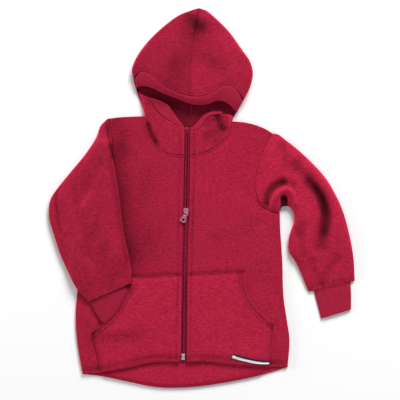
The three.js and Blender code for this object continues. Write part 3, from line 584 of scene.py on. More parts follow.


# Painted shade on the fronts: strips along seams and edges, and on the right front the painted shadow of the
# sleeve beside it.
right_front_shade = shade_strips(
    (0.2, 3.6, pocket_top[0]), (0.2, 2.0, right_front_edge), (0.3, 4.0, right_armhole),
    (0.24, 8.0, [(-171.6, 78), (-162.8, 27.3), (-155.4, -23.4), (-149.8, -66.3), (-140.4, -109.2),
                 (-134, -167.7)]),
    (0.26, 12.0, [(-167.7, 148.2), (-156, 120.9), (-144.3, 93.6)]),
    (0.14, 17.0, [(-171.6, 93.6), (-159.9, 27.3), (-150.2, -35.1), (-138.4, -101.4)]),
    (0.1, 40.0, [(-154, 140.4), (-119, 74.1), (-107.2, -3.9), (-99.5, -101.4)]))
left_front_shade = shade_strips((0.16, 3.6, pocket_top[1]), (0.2, 2.0, left_front_edge),
                             (0.25, 3.0, left_armhole))


def surface(under, thickness, relief):
    """Height of a piece's upper face, for what is sewn on it."""
    return lambda x, y: under(x, y) + thickness + sum(shape(x, y) for shape in relief)


# Each front's fleece copy has its own shade: painted light and shade.
for side, shade, edges, relief, shade_marks in (
        ("right", 1.02, (edge(right_hem), edge(right_shoulder, right_neck),
                         edge([(-230.1, -342.2), *right_side], right_armhole), edge(right_front_edge)),
         right_front_relief, right_front_shade),
        ("left", 1.05, (edge(left_hem), edge(left_neck, left_shoulder), edge(left_front_edge),
                        edge([(168.5, -328.8), *left_side], left_armhole)),
         left_front_relief, left_front_shade)):
    front = panel(f"front_cloth_{side}", edges, front_under, FLEECE, size=(190, 425), spacing=2.9,
                  relief=relief, shade_marks=shade_marks)
    laid(front, f"front_{side}", shaded_fleece(f"fleece_front_{side}", shade))

sewn = []
for side, top, front_edge, hem, neck in (
        (1, surface(front_under, FLEECE, right_front_relief), right_front_edge, right_hem, right_neck),
        (-1, surface(front_under, FLEECE, left_front_relief), left_front_edge, left_hem, left_neck)):
    sewn += [(beside(bend_through(line), away), top) for line, away in (
        (front_edge, side * EDGE_STITCH), (hem, HEM_ROWS[0]), (hem, HEM_ROWS[1]), (neck, -NECK_STITCH))]
thread_rows("front_stitches", sewn)

# Sleeves: one piece of fleece each, closed by an underarm seam into a tube that lies flat.
# The left lies on the table, rolled up at the armpit; the right is bent over the front.
SLEEVE_ROOT_HEIGHT = 9.0
SLEEVE_PUFF = 7.0


def sleeve_height(t, drawn_in=2.8):
    """Low at the armhole and the cuff, puffed up between them, and drawn in at the cuff's seam."""
    puffed = SLEEVE_ROOT_HEIGHT + SLEEVE_PUFF * smooth(0, 0.3, t) * smooth(1, 0.8, t)
    return puffed - drawn_in * smooth(0.975, 1, t)


def section(outer, inner, middle=None):
    """Three points across a flat tube; the middle one is halfway where it isn't given."""
    middle = middle or ((outer[0] + inner[0]) / 2, (outer[1] + inner[1]) / 2)
    return outer, middle, inner


def tube(name, rows, base, height_at, thickness, columns, spacing, relief=(), ribs=None, shade_marks=()):
    """A flattened tube of cloth through sections, with its upper face's relief."""
    lines = [bend_through([row[k] for row in rows]) for k in range(3)]
    share = np.linspace(0, 1, len(lines[0]))
    length = max(np.linalg.norm(np.diff(line, axis=0), axis=1).sum() for line in lines)
    t = marks(int(length / spacing), length, thickness / 2)
    drop = rounding(t, length, thickness / 2)[:, None]
    height = height_at(t)[:, None]
    angle = np.linspace(0, 2 * math.pi, columns, endpoint=False)[None, :]
    level = np.clip(1.3 * np.sin(angle), -1, 1) + 0 * drop
    outer, middle, inner = [np.stack([np.interp(t, share, line[:, i]) for i in (0, 1)], 1)[:, None, :]
                            for line in lines]
    half = np.linalg.norm(outer - inner, axis=-1) / 2
    girth = 4 * half.max()
    grids, shades = [], []
    for inset in (0.0, thickness):
        sunk = inset + (drop if inset == 0 else -drop)
        q = (np.cos(angle) * (half - 1.25 * sunk) / half)[..., None]
        xy = outer * q * (q + 1) / 2 + middle * (1 - q * q) + inner * q * (q - 1) / 2
        x, y = xy[..., 0], xy[..., 1]
        rise = total(relief, x, y)
        shades.append((shade_of_folds(rise) + total(shade_marks, x, y)) * smooth(-1.0, -0.1, level))
        rise = rise * smooth(0, 0.8, level) * smooth(0, 4, np.minimum(t, 1 - t)[:, None] * length)
        if ribs and inset == 0:
            ripple = np.cos(2 * math.pi * angle * girth / (2 * math.pi) / ribs[0])
            rise = rise + ribs[1] * ripple * smooth(-0.6, 0.3, level)
        z = base(x, y) + height / 2 + level * (height / 2 - sunk) + rise
        grids.append(np.dstack([x, y, z]))
    uv = np.dstack(np.broadcast_arrays(angle / (2 * math.pi) * girth, t[:, None] * length))
    points = np.concatenate([grid.reshape(-1, 3) for grid in grids])
    uvs = np.concatenate([uv.reshape(-1, 2)] * 2)
    return mesh_piece(name, points, wall_faces(columns, len(t) - 1, closed=True), uvs, shades)


def gathers(line, depth, reach, pitch):
    """Small pleats where a wide sleeve is drawn into its narrow cuff."""
    line = np.asarray(line)
    run = (line[-1] - line[0]) / np.linalg.norm(line[-1] - line[0])

    def height(x, y):
        travel = (x - line[0][0]) * run[0] + (y - line[0][1]) * run[1]
        uneven = 0.75 + 0.25 * np.sin(travel / 7.3)
        near = np.exp(-distance_to(line, x, y) / reach)
        return -depth * uneven * near * (1 + np.cos(2 * math.pi * travel / pitch))
    return height


left_sleeve_rows = [section(*row) for row in (
    ((139.6, 126), (119.3, -16.8), (108.4, 40.9)),
    ((151.3, 123.2), (135.7, -24.2), (127.7, 40.9)),
    ((161.8, 115), (152.5, -26.9), (146.2, 42.9)),
    ((173.5, 106.3), (157.9, -17.2), (163.8, 44.9)),
    ((189.2, 93.6), (172.8, -17.2), (181.3, 39)),
    ((212.5, 72.1), (180.2, -30.2), (196.9, 21.4)),
    ((242.8, 38.6), (181.3, -44.9)),
    ((261.3, 7.8), (174.5, -64.3)),
    ((276.9, -27.3), (170.2, -83.8)),
    ((291.5, -82.9), (172, -105.3)),
    ((297.4, -120.9), (186.4, -128.7)),
    ((299.5, -161.8), (209.6, -182.9)),
)]
left_sleeve_relief = [
    fold([(183.3, 62.4), (195, 47.8), (211.6, 29.2), (227.2, 9.8), (236.9, -9.8), (241.4, -31.2),
          (241, -46.8), (239.1, -64.3), (233, -95.5)], 22, -3.0),
    fold([(210.6, 31.2), (227.2, 9.8), (237.1, -9.8), (240.6, -27.3), (239.8, -46.8), (237.9, -66.3)],
         19, -3.4),
    fold([(222.3, 19.5), (232, 3.9), (237.9, -11.7), (239.8, -29.2)], 12, -3.0),
    fold([(210.6, 64.3), (235.9, 33.1), (255.4, 0), (265.2, -35.1), (269.1, -74.1)], 18, 1.5),
    fold([(191.1, 42.9), (208.7, 19.5), (220.3, -5.8), (224.2, -35.1)], 14, 0.8),
    fold([(137.5, -19.5), (141.4, -5.8), (146.2, 2.9), (153.1, 10.7), (161.8, 14.6), (170.6, 14.6),
          (178.4, 4.9), (181.3, -11.7)], 8.5, 3.4),
    fold([(126.8, -15.6), (129.1, 1.9), (134.9, 14.6), (145.3, 23.8), (159.9, 30.2)], 13, -4.6),
    fold([(157.9, 30.2), (169.7, 28.3), (179.4, 21.4)], 10, -1.8),
    fold([(161.1, -1.9), (161.5, -9.8), (161.8, -21.4)], 11, -10.0),
    fold([(196.9, -54.6), (195, -81.9), (198.9, -109.2)], 14, -2.2),
    fold([(183.3, -46.8), (187.2, -74.1)], 9, -1.2),
    fold([(156, 101.4), (163.8, 81.9), (161.8, 58.5)], 14, -1.6),
    fold([(267.1, -117), (247.7, -144.3), (235.9, -171.6)], 14, -1.4),
    fold([(216.4, -124.8), (224.2, -152.1), (239.8, -175.5)], 12, -1.2),
    gathers([(299.5, -161.8), (209.6, -182.9)], 0.7, 9.0, 10.5),
    lambda x, y: waviness(x, y, 60, 0.8, 31),
]
# A patch of painted shade fills the armpit hollow, and the sleeve's fleece copy is lighter: painted light.
left_sleeve = tube("sleeve_cloth_left", left_sleeve_rows, on_table, sleeve_height, FLEECE, columns=128,
                   spacing=2.5, relief=left_sleeve_relief,
                   shade_marks=[fold([(161.8, -1.9), (162.2, -19.5)], 10, 0.9)])
laid(left_sleeve, "sleeve_left", shaded_fleece("fleece_sleeve_left", 1.14))

right_sleeve_rows = [section(*row) for row in (
    ((-182.9, 153.3), (-174.3, 99.5), (-176.3, 128.7)),
    ((-195.8, 140.4), (-173.2, 88.7)),
    ((-202.4, 120.9), (-171.8, 78)),
    ((-224.2, 86.8), (-167.7, 52.6)),
    ((-249.6, 55.6), (-163.4, 27.3)),
    ((-275.9, 23.4), (-159.3, 1.9)),
    ((-293.5, -3.9), (-156, -23.4)),
    ((-295.4, -39), (-153.3, -44.9)),
    ((-285.7, -74.1), (-150.5, -66.3)),
    ((-274.9, -107.2), (-146.2, -88.7)),
    ((-260.3, -140.4), (-141.2, -109.2)),
    ((-241.2, -176.7), (-137.3, -136.5)),
    ((-218.4, -201.8), (-134.9, -165)),
)]
ARM_LIFT_START = 123.0
ARM_LIFT_FULL = 102.0


def under_right_arm(x, y, s=None, t=None):
    """What the right arm lies on: the table, then the front panel inside the body's side."""
    inside = x - np.interp(y, right_rows[:, 1], right_rows[:, 0])
    lift = smooth(-32, -9, inside) * smooth(ARM_LIFT_START, ARM_LIFT_FULL, y)
    return on_front(x, y) * lift


right_sleeve_relief = [
    fold([(-274.9, 19.5), (-279.8, 7.8), (-281.8, -9.8), (-278.8, -39), (-273, -68.2)], 7, -2.2),
    fold([(-196.9, 66.3), (-216.4, 39), (-243.8, -3.9)], 22, -1.2),
    fold([(-169.7, 0), (-193, -27.3), (-206.7, -74.1)], 24, -1.2),
    fold([(-239.8, -27.3), (-228.2, -74.1), (-210.6, -124.8)], 24, -1.0),
    fold([(-189.2, -101.4), (-185.2, -140.4), (-175.5, -175.5)], 20, -1.2),
    fold([(-224.2, -124.8), (-208.7, -159.9), (-196.9, -187.2)], 12, 1.2),
    fold([(-181.3, 136.5), (-189.2, 101.4), (-196.9, 74.1)], 16, -1.2),
    fold([(-259.3, 3.9), (-251.5, -35.1), (-235.9, -81.9)], 14, 1.2),
    fold([(-161.8, -46.8), (-157.9, -89.7), (-154, -124.8)], 12, 1.0),
    gathers([(-218.4, -201.8), (-134.9, -165)], 0.6, 9.0, 10.5),
    lambda x, y: waviness(x, y, 70, 0.8, 41),
]
# Painted shade along the sleeve's inner edge, where it lies over the front; its fleece copy is a little
# darker, painted shade.
right_sleeve_shade = shade_strips(
    (0.45, 7.5, [(-174.5, 99.5), (-168.5, 52.6), (-160.3, 1.9), (-153.7, -44.9), (-146.6, -88.7),
                 (-141.2, -120.9)]),
    (0.55, 3.6, [(-185.6, 150.2), (-181.9, 136.5), (-178.8, 119), (-175.1, 99.5), (-171.8, 78)]))
right_sleeve = tube("sleeve_cloth_right", right_sleeve_rows, under_right_arm,
                    lambda t: sleeve_height(t, drawn_in=0.6), FLEECE, columns=144, spacing=2.5,
                    relief=right_sleeve_relief, shade_marks=right_sleeve_shade)
laid(right_sleeve, "sleeve_right", shaded_fleece("fleece_sleeve_right", 0.96))

# Cuffs: double rib knit tubes, narrower than the sleeves that are gathered into them.
# The right one goes into the kangaroo pocket.
RIB = 2.2
CUFF_HEIGHT = 5.4
RIB_PITCH = 2.3
RIB_DEPTH = 0.2
rib_knit = cloth_material("rib_knit", (0.26, 0.0085, 0.029), (0.40, 0.017, 0.052), 620.0, 80.0, 0.35, 0.0005,
                          0.5)
# Painted shade along the seam where the sleeve is gathered in, and on the right cuff an even painted shadow
# of the sleeve above it.
for side, rows, base, seam, sleeve_shadow in (
        ("left", (((291.3, -162), (219.4, -178.8)), ((292.5, -191.1), (227, -207.7)),
                  ((292.3, -217.4), (234.2, -235.2))),
         on_table, [(292.5, -165), (253.5, -172.4), (210.6, -187.2)], 0),
        ("right", (((-217, -200.5), (-146.1, -168.5)), ((-204.8, -224.2), (-141.4, -195)),
                   ((-192.1, -243.8), (-137.5, -219.4))),
         under_right_arm, [(-218.4, -205.9), (-173.5, -188.4), (-134.5, -166.9)], 0.1)):
    cuff = tube(f"cuff_rib_{side}", [section(*row) for row in rows], base,
                lambda t: np.full_like(t, CUFF_HEIGHT), RIB, columns=300, spacing=4.0,
                relief=[lambda x, y: waviness(x, y, 40, 0.25, 51)], ribs=(RIB_PITCH, RIB_DEPTH),
                shade_marks=[shade_strip(seam, 0.0, 0.4, 2.2), lambda x, y: np.full_like(x, sleeve_shadow)])
    laid(cuff, f"cuff_{side}", rib_knit)

# Kangaroo pockets: a patch each side of the zip, sewn down at the front edge, the hem, the
# top and the outer side, with a curved open edge where the hand goes in.
CUFF_RISE = CUFF_HEIGHT + 0.6
tuck_line = np.array([(-181.3, -185.2), (-164.8, -231.1)])


def over_cuff(x, y, s=None, t=None):
    """The right pocket's underside: on the front, and raised where the cuff is inside."""
    lift = smooth(78, 40, distance_to(tuck_line, x, y)) * smooth(-285, -255, y)
    return on_front(x, y) + CUFF_RISE * lift


right_pocket_mouth = [(-213.5, -263.2), (-191.1, -244.5), (-173.5, -229.1), (-158.7, -209.6),
                      (-150.2, -191.1), (-135.5, -173.5)]
left_pocket_mouth = [(141, -245.7), (124.4, -232), (108.8, -216.4), (96.5, -200.8), (87.8, -179.4),
                     (84.4, -158.9), (83.5, -141.4)]
right_pocket_side = [(-197.7, -339.3), (-202.2, -306.1), (-213.5, -263.2)]
left_pocket_side = [(136.9, -328.4), (138.4, -286.6), (141, -245.7)]
right_pocket_top = [(-132.6, -153.1), (-37.6, -148)]
left_pocket_top = [(-25.9, -148.2), (83.5, -141.4)]
right_pocket_hem = [(-197.7, -339.3), (-146.2, -330.7), (-97.5, -319.8), (-40.2, -317.7)]
left_pocket_hem = [(-27.5, -317.7), (11.7, -318), (63.6, -323.7), (136.9, -328.4)]
MOUTH_ROWS = (11.0, 5.6)  # mm from the open edge to its two rows of stitches
SEAM_ROW = 3.8
SEWN_REACH = 7.0


def sewn_edges(side, mouth, top, outer, hem, front_edge):
    """Relief and painted shade strips of a pocket: flat where it is sewn down, a double row at the mouth."""
    lines = [bend_through(line) for line in (mouth, top, outer, hem, front_edge)]
    mouth, top, outer, hem, front_edge = lines
    relief = [groove(line, 0.0, 1.5, SEWN_REACH) for line in (top, outer)]
    relief += [groove(top, 3.6, 0.7), groove(outer, 3.6, 0.7), groove(mouth, MOUTH_ROWS[1], 1.2, 1.7),
               groove(mouth, MOUTH_ROWS[0], 1.2, 1.7), groove(front_edge, EDGE_STITCH, 1.7, 2.0)]
    relief += [groove(hem, away, 0.9, 1.5) for away in HEM_ROWS] + [groove(hem, 0.0, 1.5, SEWN_REACH)]
    relief += [puckers(mouth, 6.0, 0.2, 13.0, 63), lambda x, y: waviness(x, y, 65, 0.4, 61 + side)]
    shade_marks = [shade_strip(top, 1.0, 0.1, 3.4), shade_strip(outer, 1.0, 0.08, 3.4), shade_strip(mouth, 1.0, 0.3, 3.0),
             shade_strip(mouth, 8.0, 0.14, 6.0)]
    return relief, shade_marks


pocket_make = {
    "right": sewn_edges(0, right_pocket_mouth, right_pocket_top, right_pocket_side, right_hem,
                        right_front_edge),
    "left": sewn_edges(1, left_pocket_mouth, left_pocket_top, left_pocket_side, left_hem, left_front_edge),
}
pocket_make["right"][0].extend([
    fold([(-115, -183.3), (-130.7, -218.4), (-150.2, -249.6)], 22, 0.8),
    fold([(-146.2, -234), (-119, -265.2), (-99.5, -300.3)], 20, -0.6),
    fold([(-196.9, -276.9), (-173.5, -296.4), (-146.2, -308.1)], 16, -0.5)])
# More painted shade at the right pocket's mouth, and a lighter fleece copy for the pockets: painted light.
pocket_make["right"][1].append(shade_strip(bend_through(right_pocket_mouth), 0.0, 0.35, 3.0))
pocket_fleece = shaded_fleece("fleece_pocket", 1.17)
for side, edges, under in (
        ("right", (edge(right_pocket_hem), edge(right_pocket_top),
                   edge(right_pocket_side, right_pocket_mouth, [(-135.5, -173.5), (-132.6, -153.1)]),
                   edge([(-40.2, -317.7), (-37.6, -148)])), over_cuff),
        ("left", (edge(left_pocket_hem), edge(left_pocket_top), edge([(-27.5, -317.7), (-25.9, -148.2)]),
                  edge(left_pocket_side, left_pocket_mouth)), on_front)):
    pocket = panel(f"pocket_cloth_{side}", edges, under, FLEECE, (135, 175), 2.7, *pocket_make[side])
    laid(pocket, f"pocket_{side}", pocket_fleece)

on_right_pocket = surface(over_cuff, FLEECE, pocket_make["right"][0])
on_left_pocket = surface(on_front, FLEECE, pocket_make["left"][0])
sewn = []
for side, top, mouth, upper, outer, hem, front_edge in (
        (-1, on_right_pocket, right_pocket_mouth, right_pocket_top, right_pocket_side, right_hem,
         [(-39.4, -315.9), (-37.6, -148.2)]),
        (1, on_left_pocket, left_pocket_mouth, left_pocket_top, left_pocket_side, left_hem,
         [(-28.3, -315.9), (-26.3, -148.2)])):
    sewn += [(beside(bend_through(line), away), top) for line, away in (
        (mouth, side * MOUTH_ROWS[0]), (mouth, side * MOUTH_ROWS[1]), (upper, -SEAM_ROW),
        (outer, side * SEAM_ROW), (hem, HEM_ROWS[0]), (hem, HEM_ROWS[1]), (front_edge, -side * EDGE_STITCH))]
thread_rows("pocket_stitches", sewn)

# Label ribbon and hem binding: a short white satin ribbon with dark woven edges, sewn flat
# above the front hem, and a dark bias strip that covers the tail's hem allowance.
RIBBON = 0.8
satin = cloth_material("ribbon_satin", (0.82, 0.76, 0.8), (0.97, 0.93, 0.96), 700.0, 250.0, 0.3, 0.0002,
                       0.15, 0.55)
dark_weave = cloth_material("ribbon_edge", (0.02, 0.012, 0.03), (0.06, 0.03, 0.06), 700.0, 250.0, 0.3,
                            0.0002, 0.1, 0.7)
binding_weave = cloth_material("binding_weave", (0.19, 0.0055, 0.021), (0.33, 0.0105, 0.037), 700.0, 120.0,
                               0.4, 0.0003, 0.05)
ribbon = panel("label_ribbon_cloth",
               (edge([(60.1, -312.4), (76, -317.1), (95.5, -321.6), (115, -324.1), (132.2, -324.3)]),
                edge([(62.8, -302.6), (78, -306.5), (96.7, -311.8), (115, -315.1), (132.6, -316.3)]),
                edge([(60.1, -312.4), (62.8, -302.6)]), edge([(132.2, -324.3), (132.6, -316.3)])),
               lambda x, y, s, t: on_left_pocket(x, y) + 0.1, RIBBON, size=(74, 9), spacing=0.8)
laid(ribbon, "label_ribbon", satin)
ribbon.data.materials.append(dark_weave)
# The dark weave takes the ribbon's upper edge, wider towards one end, and a thin line below.
for face in ribbon.data.polygons:
    u, v = ribbon.data.uv_layers["cloth"].data[face.loop_indices[0]].uv
    lengthwise, across = u / (73 * MM), v / (9 * MM)
    face.material_index = 1 if across > 0.58 - 0.1 * lengthwise or across < 0.1 else 0

binding = panel("tail_binding_cloth",
                (edge([(-191.1, -347.5), (-148.2, -356.3), (-87.8, -367.8), (-27.3, -368.6), (40.9, -360.2),
                       (109.2, -346.5), (120.9, -342.4)]),
                 edge([(-191.1, -342), (-148.2, -349.8), (-87.8, -361.1), (-27.3, -361.9), (40.9, -353.7),
                       (109.2, -340.3), (120.9, -336.6)]),
                 edge([(-191.1, -347.5), (-191.1, -342)]), edge([(120.9, -342.4), (120.9, -336.6)])),
                lambda x, y, s, t: FLEECE + SEAM, thickness=1.2, size=(318, 6.5), spacing=1.3)
laid(binding, "tail_binding", binding_weave)

# Hood: two fleece halves sewn along the crown, lying on its back. Each is a wall that runs from
# the back seam's underside round the silhouette to the crown, and is one piece with a collar.
CENTRE_GAP = 0.02
HOOD_THICK = 27.0
HOOD_TIP_THICK = 6.4
HOOD_LENGTH = 245.0
HOOD_GIRTH = 330.0  # of a half, from the back seam round to the crown
NECK_CENTRE = (-21.4, 137.9)
FACE_CENTRE = (-21.4, 198.1)
TIP = (-3.9, 369.7)
right_rim = [(-129.5, 235.9), (-134.2, 247.7), (-127.7, 269.1), (-109.4, 297), (-83.8, 324.3),
             (-44.9, 354.9), (-21.4, 365)]
left_rim = [(83.1, 191.1), (95.5, 215.3), (101, 241.8), (95.5, 265.2), (79.6, 289), (54.6, 323.7),
            (23.4, 354.9), (11.7, 364.6)]
right_neck_runs = ([NECK_CENTRE, (-56.5, 140.8), (-85, 149.4), (-107.2, 161.8)],
                   [(-107.2, 161.8), (-117, 185.2), (-126.8, 213.5), (-129.5, 235.9)])
left_neck_runs = ([NECK_CENTRE, (19.5, 140.4), (60.4, 152.5)], [(60.4, 152.5), (68.2, 165.8), (83.1, 191.1)])
right_face = [FACE_CENTRE, (-47.8, 205.9), (-74.1, 220), (-91.6, 235.9), (-103.3, 243.8), (-117.4, 245.5),
              (-129.5, 235.9)]
left_face = [FACE_CENTRE, (1.9, 198.1), (21.4, 205.9), (37.8, 215.9), (53.8, 219), (69.6, 210),
             (83.1, 191.1)]
back_centre = [NECK_CENTRE, (-20.5, 210.6), (-17.6, 288.6), TIP]
crown_centre = [FACE_CENTRE, (-18.9, 276.9), (-12.9, 316.9), TIP]
crown_line = bend_through(crown_centre)


def hood_half(name, side, rim_points, neck_runs, face, relief, shade_marks, columns=128, spacing=2.7):
    """One half of the hood: its back lies on the table and its crown above, open at the face."""
    rim, centre_low, centre_high = edge(rim_points), edge(back_centre), edge(crown_centre)
    t = marks(int(HOOD_LENGTH / spacing), HOOD_LENGTH, FLEECE / 2)
    drop = rounding(t, HOOD_LENGTH, FLEECE / 2)[:, None]
    drop = np.where(t[:, None] < 0.5, drop, 0)
    s = np.linspace(0, 1, columns + 1)[None, :]
    angle = (s - 0.5) * math.pi
    width = np.linalg.norm(centre_low(t) - rim(t), axis=1)[:, None]
    across = edge(*neck_runs), edge(face)
    tip = edge([TIP, rim_points[-1]])
    grids, shades = [], []
    for inset in (0.0, FLEECE):
        sunk = inset + (drop if inset == 0 else -drop)
        q = np.cos(angle) * np.maximum(width - 1.3 * sunk, 0.02) / np.maximum(width, 0.05)
        tt = np.broadcast_to(t[:, None], q.shape)
        sheets = []
        for centre, seam in ((centre_low, across[0]), (centre_high, across[1])):
            start, stop = seam(np.zeros(1))[0], seam(np.ones(1))[0]
            b, a = tt[..., None], q[..., None]
            sheets.append(seam(q) * (1 - b) + tip(q) * b + centre(tt) * (1 - a) + rim(tt) * a
                          - start * (1 - a) * (1 - b) - stop * a * (1 - b)
                          - centre(np.ones(1))[0] * (1 - a) * b - rim(np.ones(1))[0] * a * b)
        xy = np.where((s < 0.5)[..., None], sheets[0], sheets[1])
        x, y = xy[..., 0], xy[..., 1]
        level = np.where(s < 0.5, np.maximum(-1, 1.5 * np.sin(angle)), np.sin(angle))
        height = HOOD_THICK + (HOOD_TIP_THICK - HOOD_THICK) * tt ** 1.4
        rise = total(relief, x, y)
        # Painted shade in its troughs and patches, and more on its inner face, which lies in shade inside
        # the hood.
        shades.append((shade_of_folds(rise) + total(shade_marks, x, y)) * smooth(0, 0.5, level) + 0.5 * (inset > 0))
        rise = rise * smooth(0, 0.7, level)
        z = height / 2 + level * (height / 2 - sunk) + rise * (1 - tt ** 6)
        x = x - side * CENTRE_GAP * smooth(0.3, 0.0, np.minimum(s, 1 - s) * 2)
        grids.append(np.dstack([x, y, z]))
    uv = np.dstack(np.broadcast_arrays(s * HOOD_GIRTH, t[:, None] * HOOD_LENGTH))
    points = np.concatenate([grid.reshape(-1, 3) for grid in grids])
    faces = wall_faces(columns, len(t) - 1)
    if side < 0:
        faces = [corners[::-1] for corners in faces]
    return mesh_piece(name, points, faces, np.concatenate([uv.reshape(-1, 2)] * 2), shades)


crown_relief = [groove(crown_line, 0.0, 1.4, 2.2), groove(crown_line, 5.0, 0.4, 1.5),
                fold([(-21.4, 351), (-9.8, 342.2), (0, 335.4)], 22, -1.9),
                fold([(-17.6, 362.7), (-3.9, 366.6), (9.8, 360.8)], 9, 0.8),
                lambda x, y: waviness(x, y, 90, 1.0, 71) - 0.3,
                groove(bend_through(right_face), 4.0, 0.7), groove(bend_through(left_face), 4.0, 0.7)]
right_hood_relief = crown_relief + [fold([(-99.5, 241.8), (-68.2, 273), (-33.1, 288.6)], 22, 1.0),
                                    fold([(-80, 284.7), (-56.5, 257.4), (-29.2, 222.3)], 24, -1.0)]
left_hood_relief = crown_relief + [fold([(48.8, 218.4), (29.2, 249.6), (-1.9, 273)], 24, -0.9),
                                   fold([(72.1, 245.7), (56.5, 276.9), (29.2, 308.1)], 18, 0.8)]
# Painted shade along the crown seam and over the hood's middle, most on the right half.
crown_shade = [shade_strip(crown_line, 0.0, 0.1, 2.5),
               fold([(-25.3, 347.1), (-9.8, 341.2), (3.9, 335.4)], 24, 0.16),
               fold([(-13.7, 327.6), (-29.2, 288.6), (-48.8, 253.5), (-56.5, 222.3)], 42, 0.24),
               fold([(1.9, 319.8), (9.8, 288.6), (29.2, 265.2)], 34, 0.12)]
hood_right_cloth = hood_half("hood_cloth_right", 1, right_rim, right_neck_runs, right_face,
                             right_hood_relief, crown_shade)
hood_left_cloth = hood_half("hood_cloth_left", -1, left_rim, left_neck_runs, left_face, left_hood_relief,
                            crown_shade)

# Collar parts of the hood halves: from the neck seam up to the lip, folded back over themselves
# so that the inside of the neck shows between the two.
COLLAR_FOLD_BASE = (3.5, 1.8)
COLLAR_LEVEL = 6.2
COLLAR_STAND = 5.8
# Painted shade in the collars' creases and folds.
collar_shade = [fold([(-103.3, 144.3), (-99.5, 132.6), (-93.6, 119), (-85.8, 106.3)], 9, 0.65),
                fold([(9.8, 144.3), (19.5, 153.1), (39, 159.9)], 13, 0.36),
                fold([(35.1, 154), (40.9, 136.5)], 16, 0.2),
                fold([(-99.5, 189.2), (-87.8, 183.3), (-76, 175.5)], 13, 0.42),
                fold([(9.8, 120.9), (21.4, 126.8), (35.1, 134.5)], 18, 0.3)]
right_collar_front = [(-33.2, 84), (-32.6, 136.7)]
left_collar_front = [(-21.4, 84), (-20.5, 131.8)]


def collar_height(from_fold, up):
    """Underside of a collar, from its fold to its free end and from the neck seam up."""
    fold_base = COLLAR_FOLD_BASE[0] + (COLLAR_FOLD_BASE[1] - COLLAR_FOLD_BASE[0]) * up
    level = COLLAR_LEVEL + COLLAR_STAND * up * (1 - smooth(0.35, 0.95, from_fold))
    return fold_base + (level - fold_base) * smooth(0, 0.3, from_fold)


def moved(points, dx, dy):
    """The same points a little to the side or up."""
    return [(x + dx, y + dy) for x, y in points]


right_collar_edges = (
    edge(moved(right_neck, 0.3, 1.2)),
    edge([(-122.5, 204.8), (-109.2, 198.1), (-99.5, 194.6)],
         [(-99.5, 194.6), (-95.5, 186.4), (-84.6, 168.1), (-68.6, 153.5), (-43.7, 139.4), (-32.6, 136.7)]),
    edge([(-108.9, 160.1), (-114.7, 181.3), (-122.5, 204.8)]), edge(right_collar_front))
left_collar_edges = (
    edge(moved(left_neck, -0.3, 1.2)),
    edge([(-20.5, 131.8), (-9, 131.4), (-0.6, 136.1), (7.2, 147.8), (14, 156.6), (25.3, 161.5),
          (40.9, 162.4)], [(40.9, 162.4), (52.6, 162.2), (64, 159.1)]),
    edge(left_collar_front), edge([(61.1, 150.3), (64, 159.1)]))
right_collar_relief = [groove(bend_through(right_neck), 3.6, 0.4),
                       rolled_edge(bend_through(right_collar_front)),
                       fold([(-103.3, 144.3), (-97.5, 128.7), (-87.8, 109.2)], 8, -1.4),
                       fold([(-80, 152.1), (-64.3, 128.7), (-48.8, 109.2)], 12, 0.7),
                       fold([(-111.1, 195), (-99.5, 167.7), (-83.8, 136.5)], 9, -0.7),
                       lambda x, y: waviness(x, y, 40, 0.4, 81)]
left_collar_relief = [groove(bend_through(left_neck), 3.6, 0.4),
                      rolled_edge(bend_through(left_collar_front)),
                      fold([(31.2, 159.9), (35.1, 146.2), (44.9, 132.6)], 11, -2.6),
                      fold([(5.8, 128.7), (21.4, 132.6), (29.2, 117)], 12, 0.8),
                      fold([(-9.8, 113.1), (5.8, 101.4)], 9, -0.5),
                      lambda x, y: waviness(x, y, 40, 0.4, 82)]
right_collar = panel("collar_cloth_right", right_collar_edges, lambda x, y, s, t: collar_height(s, t),
                     FLEECE, size=(78, 68), spacing=2.2, relief=right_collar_relief, shade_marks=collar_shade)
left_collar = panel("collar_cloth_left", left_collar_edges, lambda x, y, s, t: collar_height(1 - s, t),
                    FLEECE, size=(82, 50), spacing=2.2, relief=left_collar_relief, shade_marks=collar_shade)
# The halves' fleece copies are darker, the right one most: painted shade.
for hood, collar, name, shade in ((hood_right_cloth, right_collar, "hood_right", 0.86),
                                  (hood_left_cloth, left_collar, "hood_left", 0.95)):
    laid(hood, name, shaded_fleece(f"fleece_{name}", shade))
    laid(collar, name, fleece)

# Hood band: rib knit, doubled over the face edge of the hood and down both collars.
# It stands up as a lip at the hood and is folded out of sight at the two corners.
BAND_CROWN = 13.5
BAND_LIP_DROP = 6.0


def band_height(x, y, s, t):
    """Underside of the lip: highest in its middle, and lower at its open edge."""
    from_centre = np.abs(1 - 2 * s)
    crest = BAND_CROWN * (1 + np.sqrt(np.clip(1 - from_centre ** 2, 0, 1)))
    return crest - RIB - BAND_LIP_DROP * (1 - t) ** 2


lip = ([(-126.4, 214.5), (-113.3, 217.4), (-97.5, 214.5), (-78, 205.3), (-53.6, 195.4), (-22.4, 183.3)],
       [(-22.4, 183.3), (-5.8, 180.6), (13.7, 182.5), (31.2, 188.6), (45.8, 186.6), (59.7, 176.7),
        (69.6, 165.8)])
lip_seam = ([(-127.9, 233.2), (-117.4, 244.7), (-103.3, 243), (-91.6, 235.2), (-74.1, 219.2), (-47.8, 205.1),
             (-21.4, 197.3)],
            [(-21.4, 197.3), (1.9, 197.3), (21.4, 205.1), (37.8, 215.1), (53.8, 218.2), (69.6, 208.8),
             (81.1, 189.2)])
right_band = ([(-95.2, 187.2), (-84.2, 169.1), (-68.2, 154.2), (-43.5, 140.4), (-32.6, 137.5)],
              [(-98.7, 195), (-85.8, 191.3), (-72.5, 185.8), (-64.5, 181), (-54.6, 167.7), (-41.9, 150.2),
               (-32.8, 139.6)])
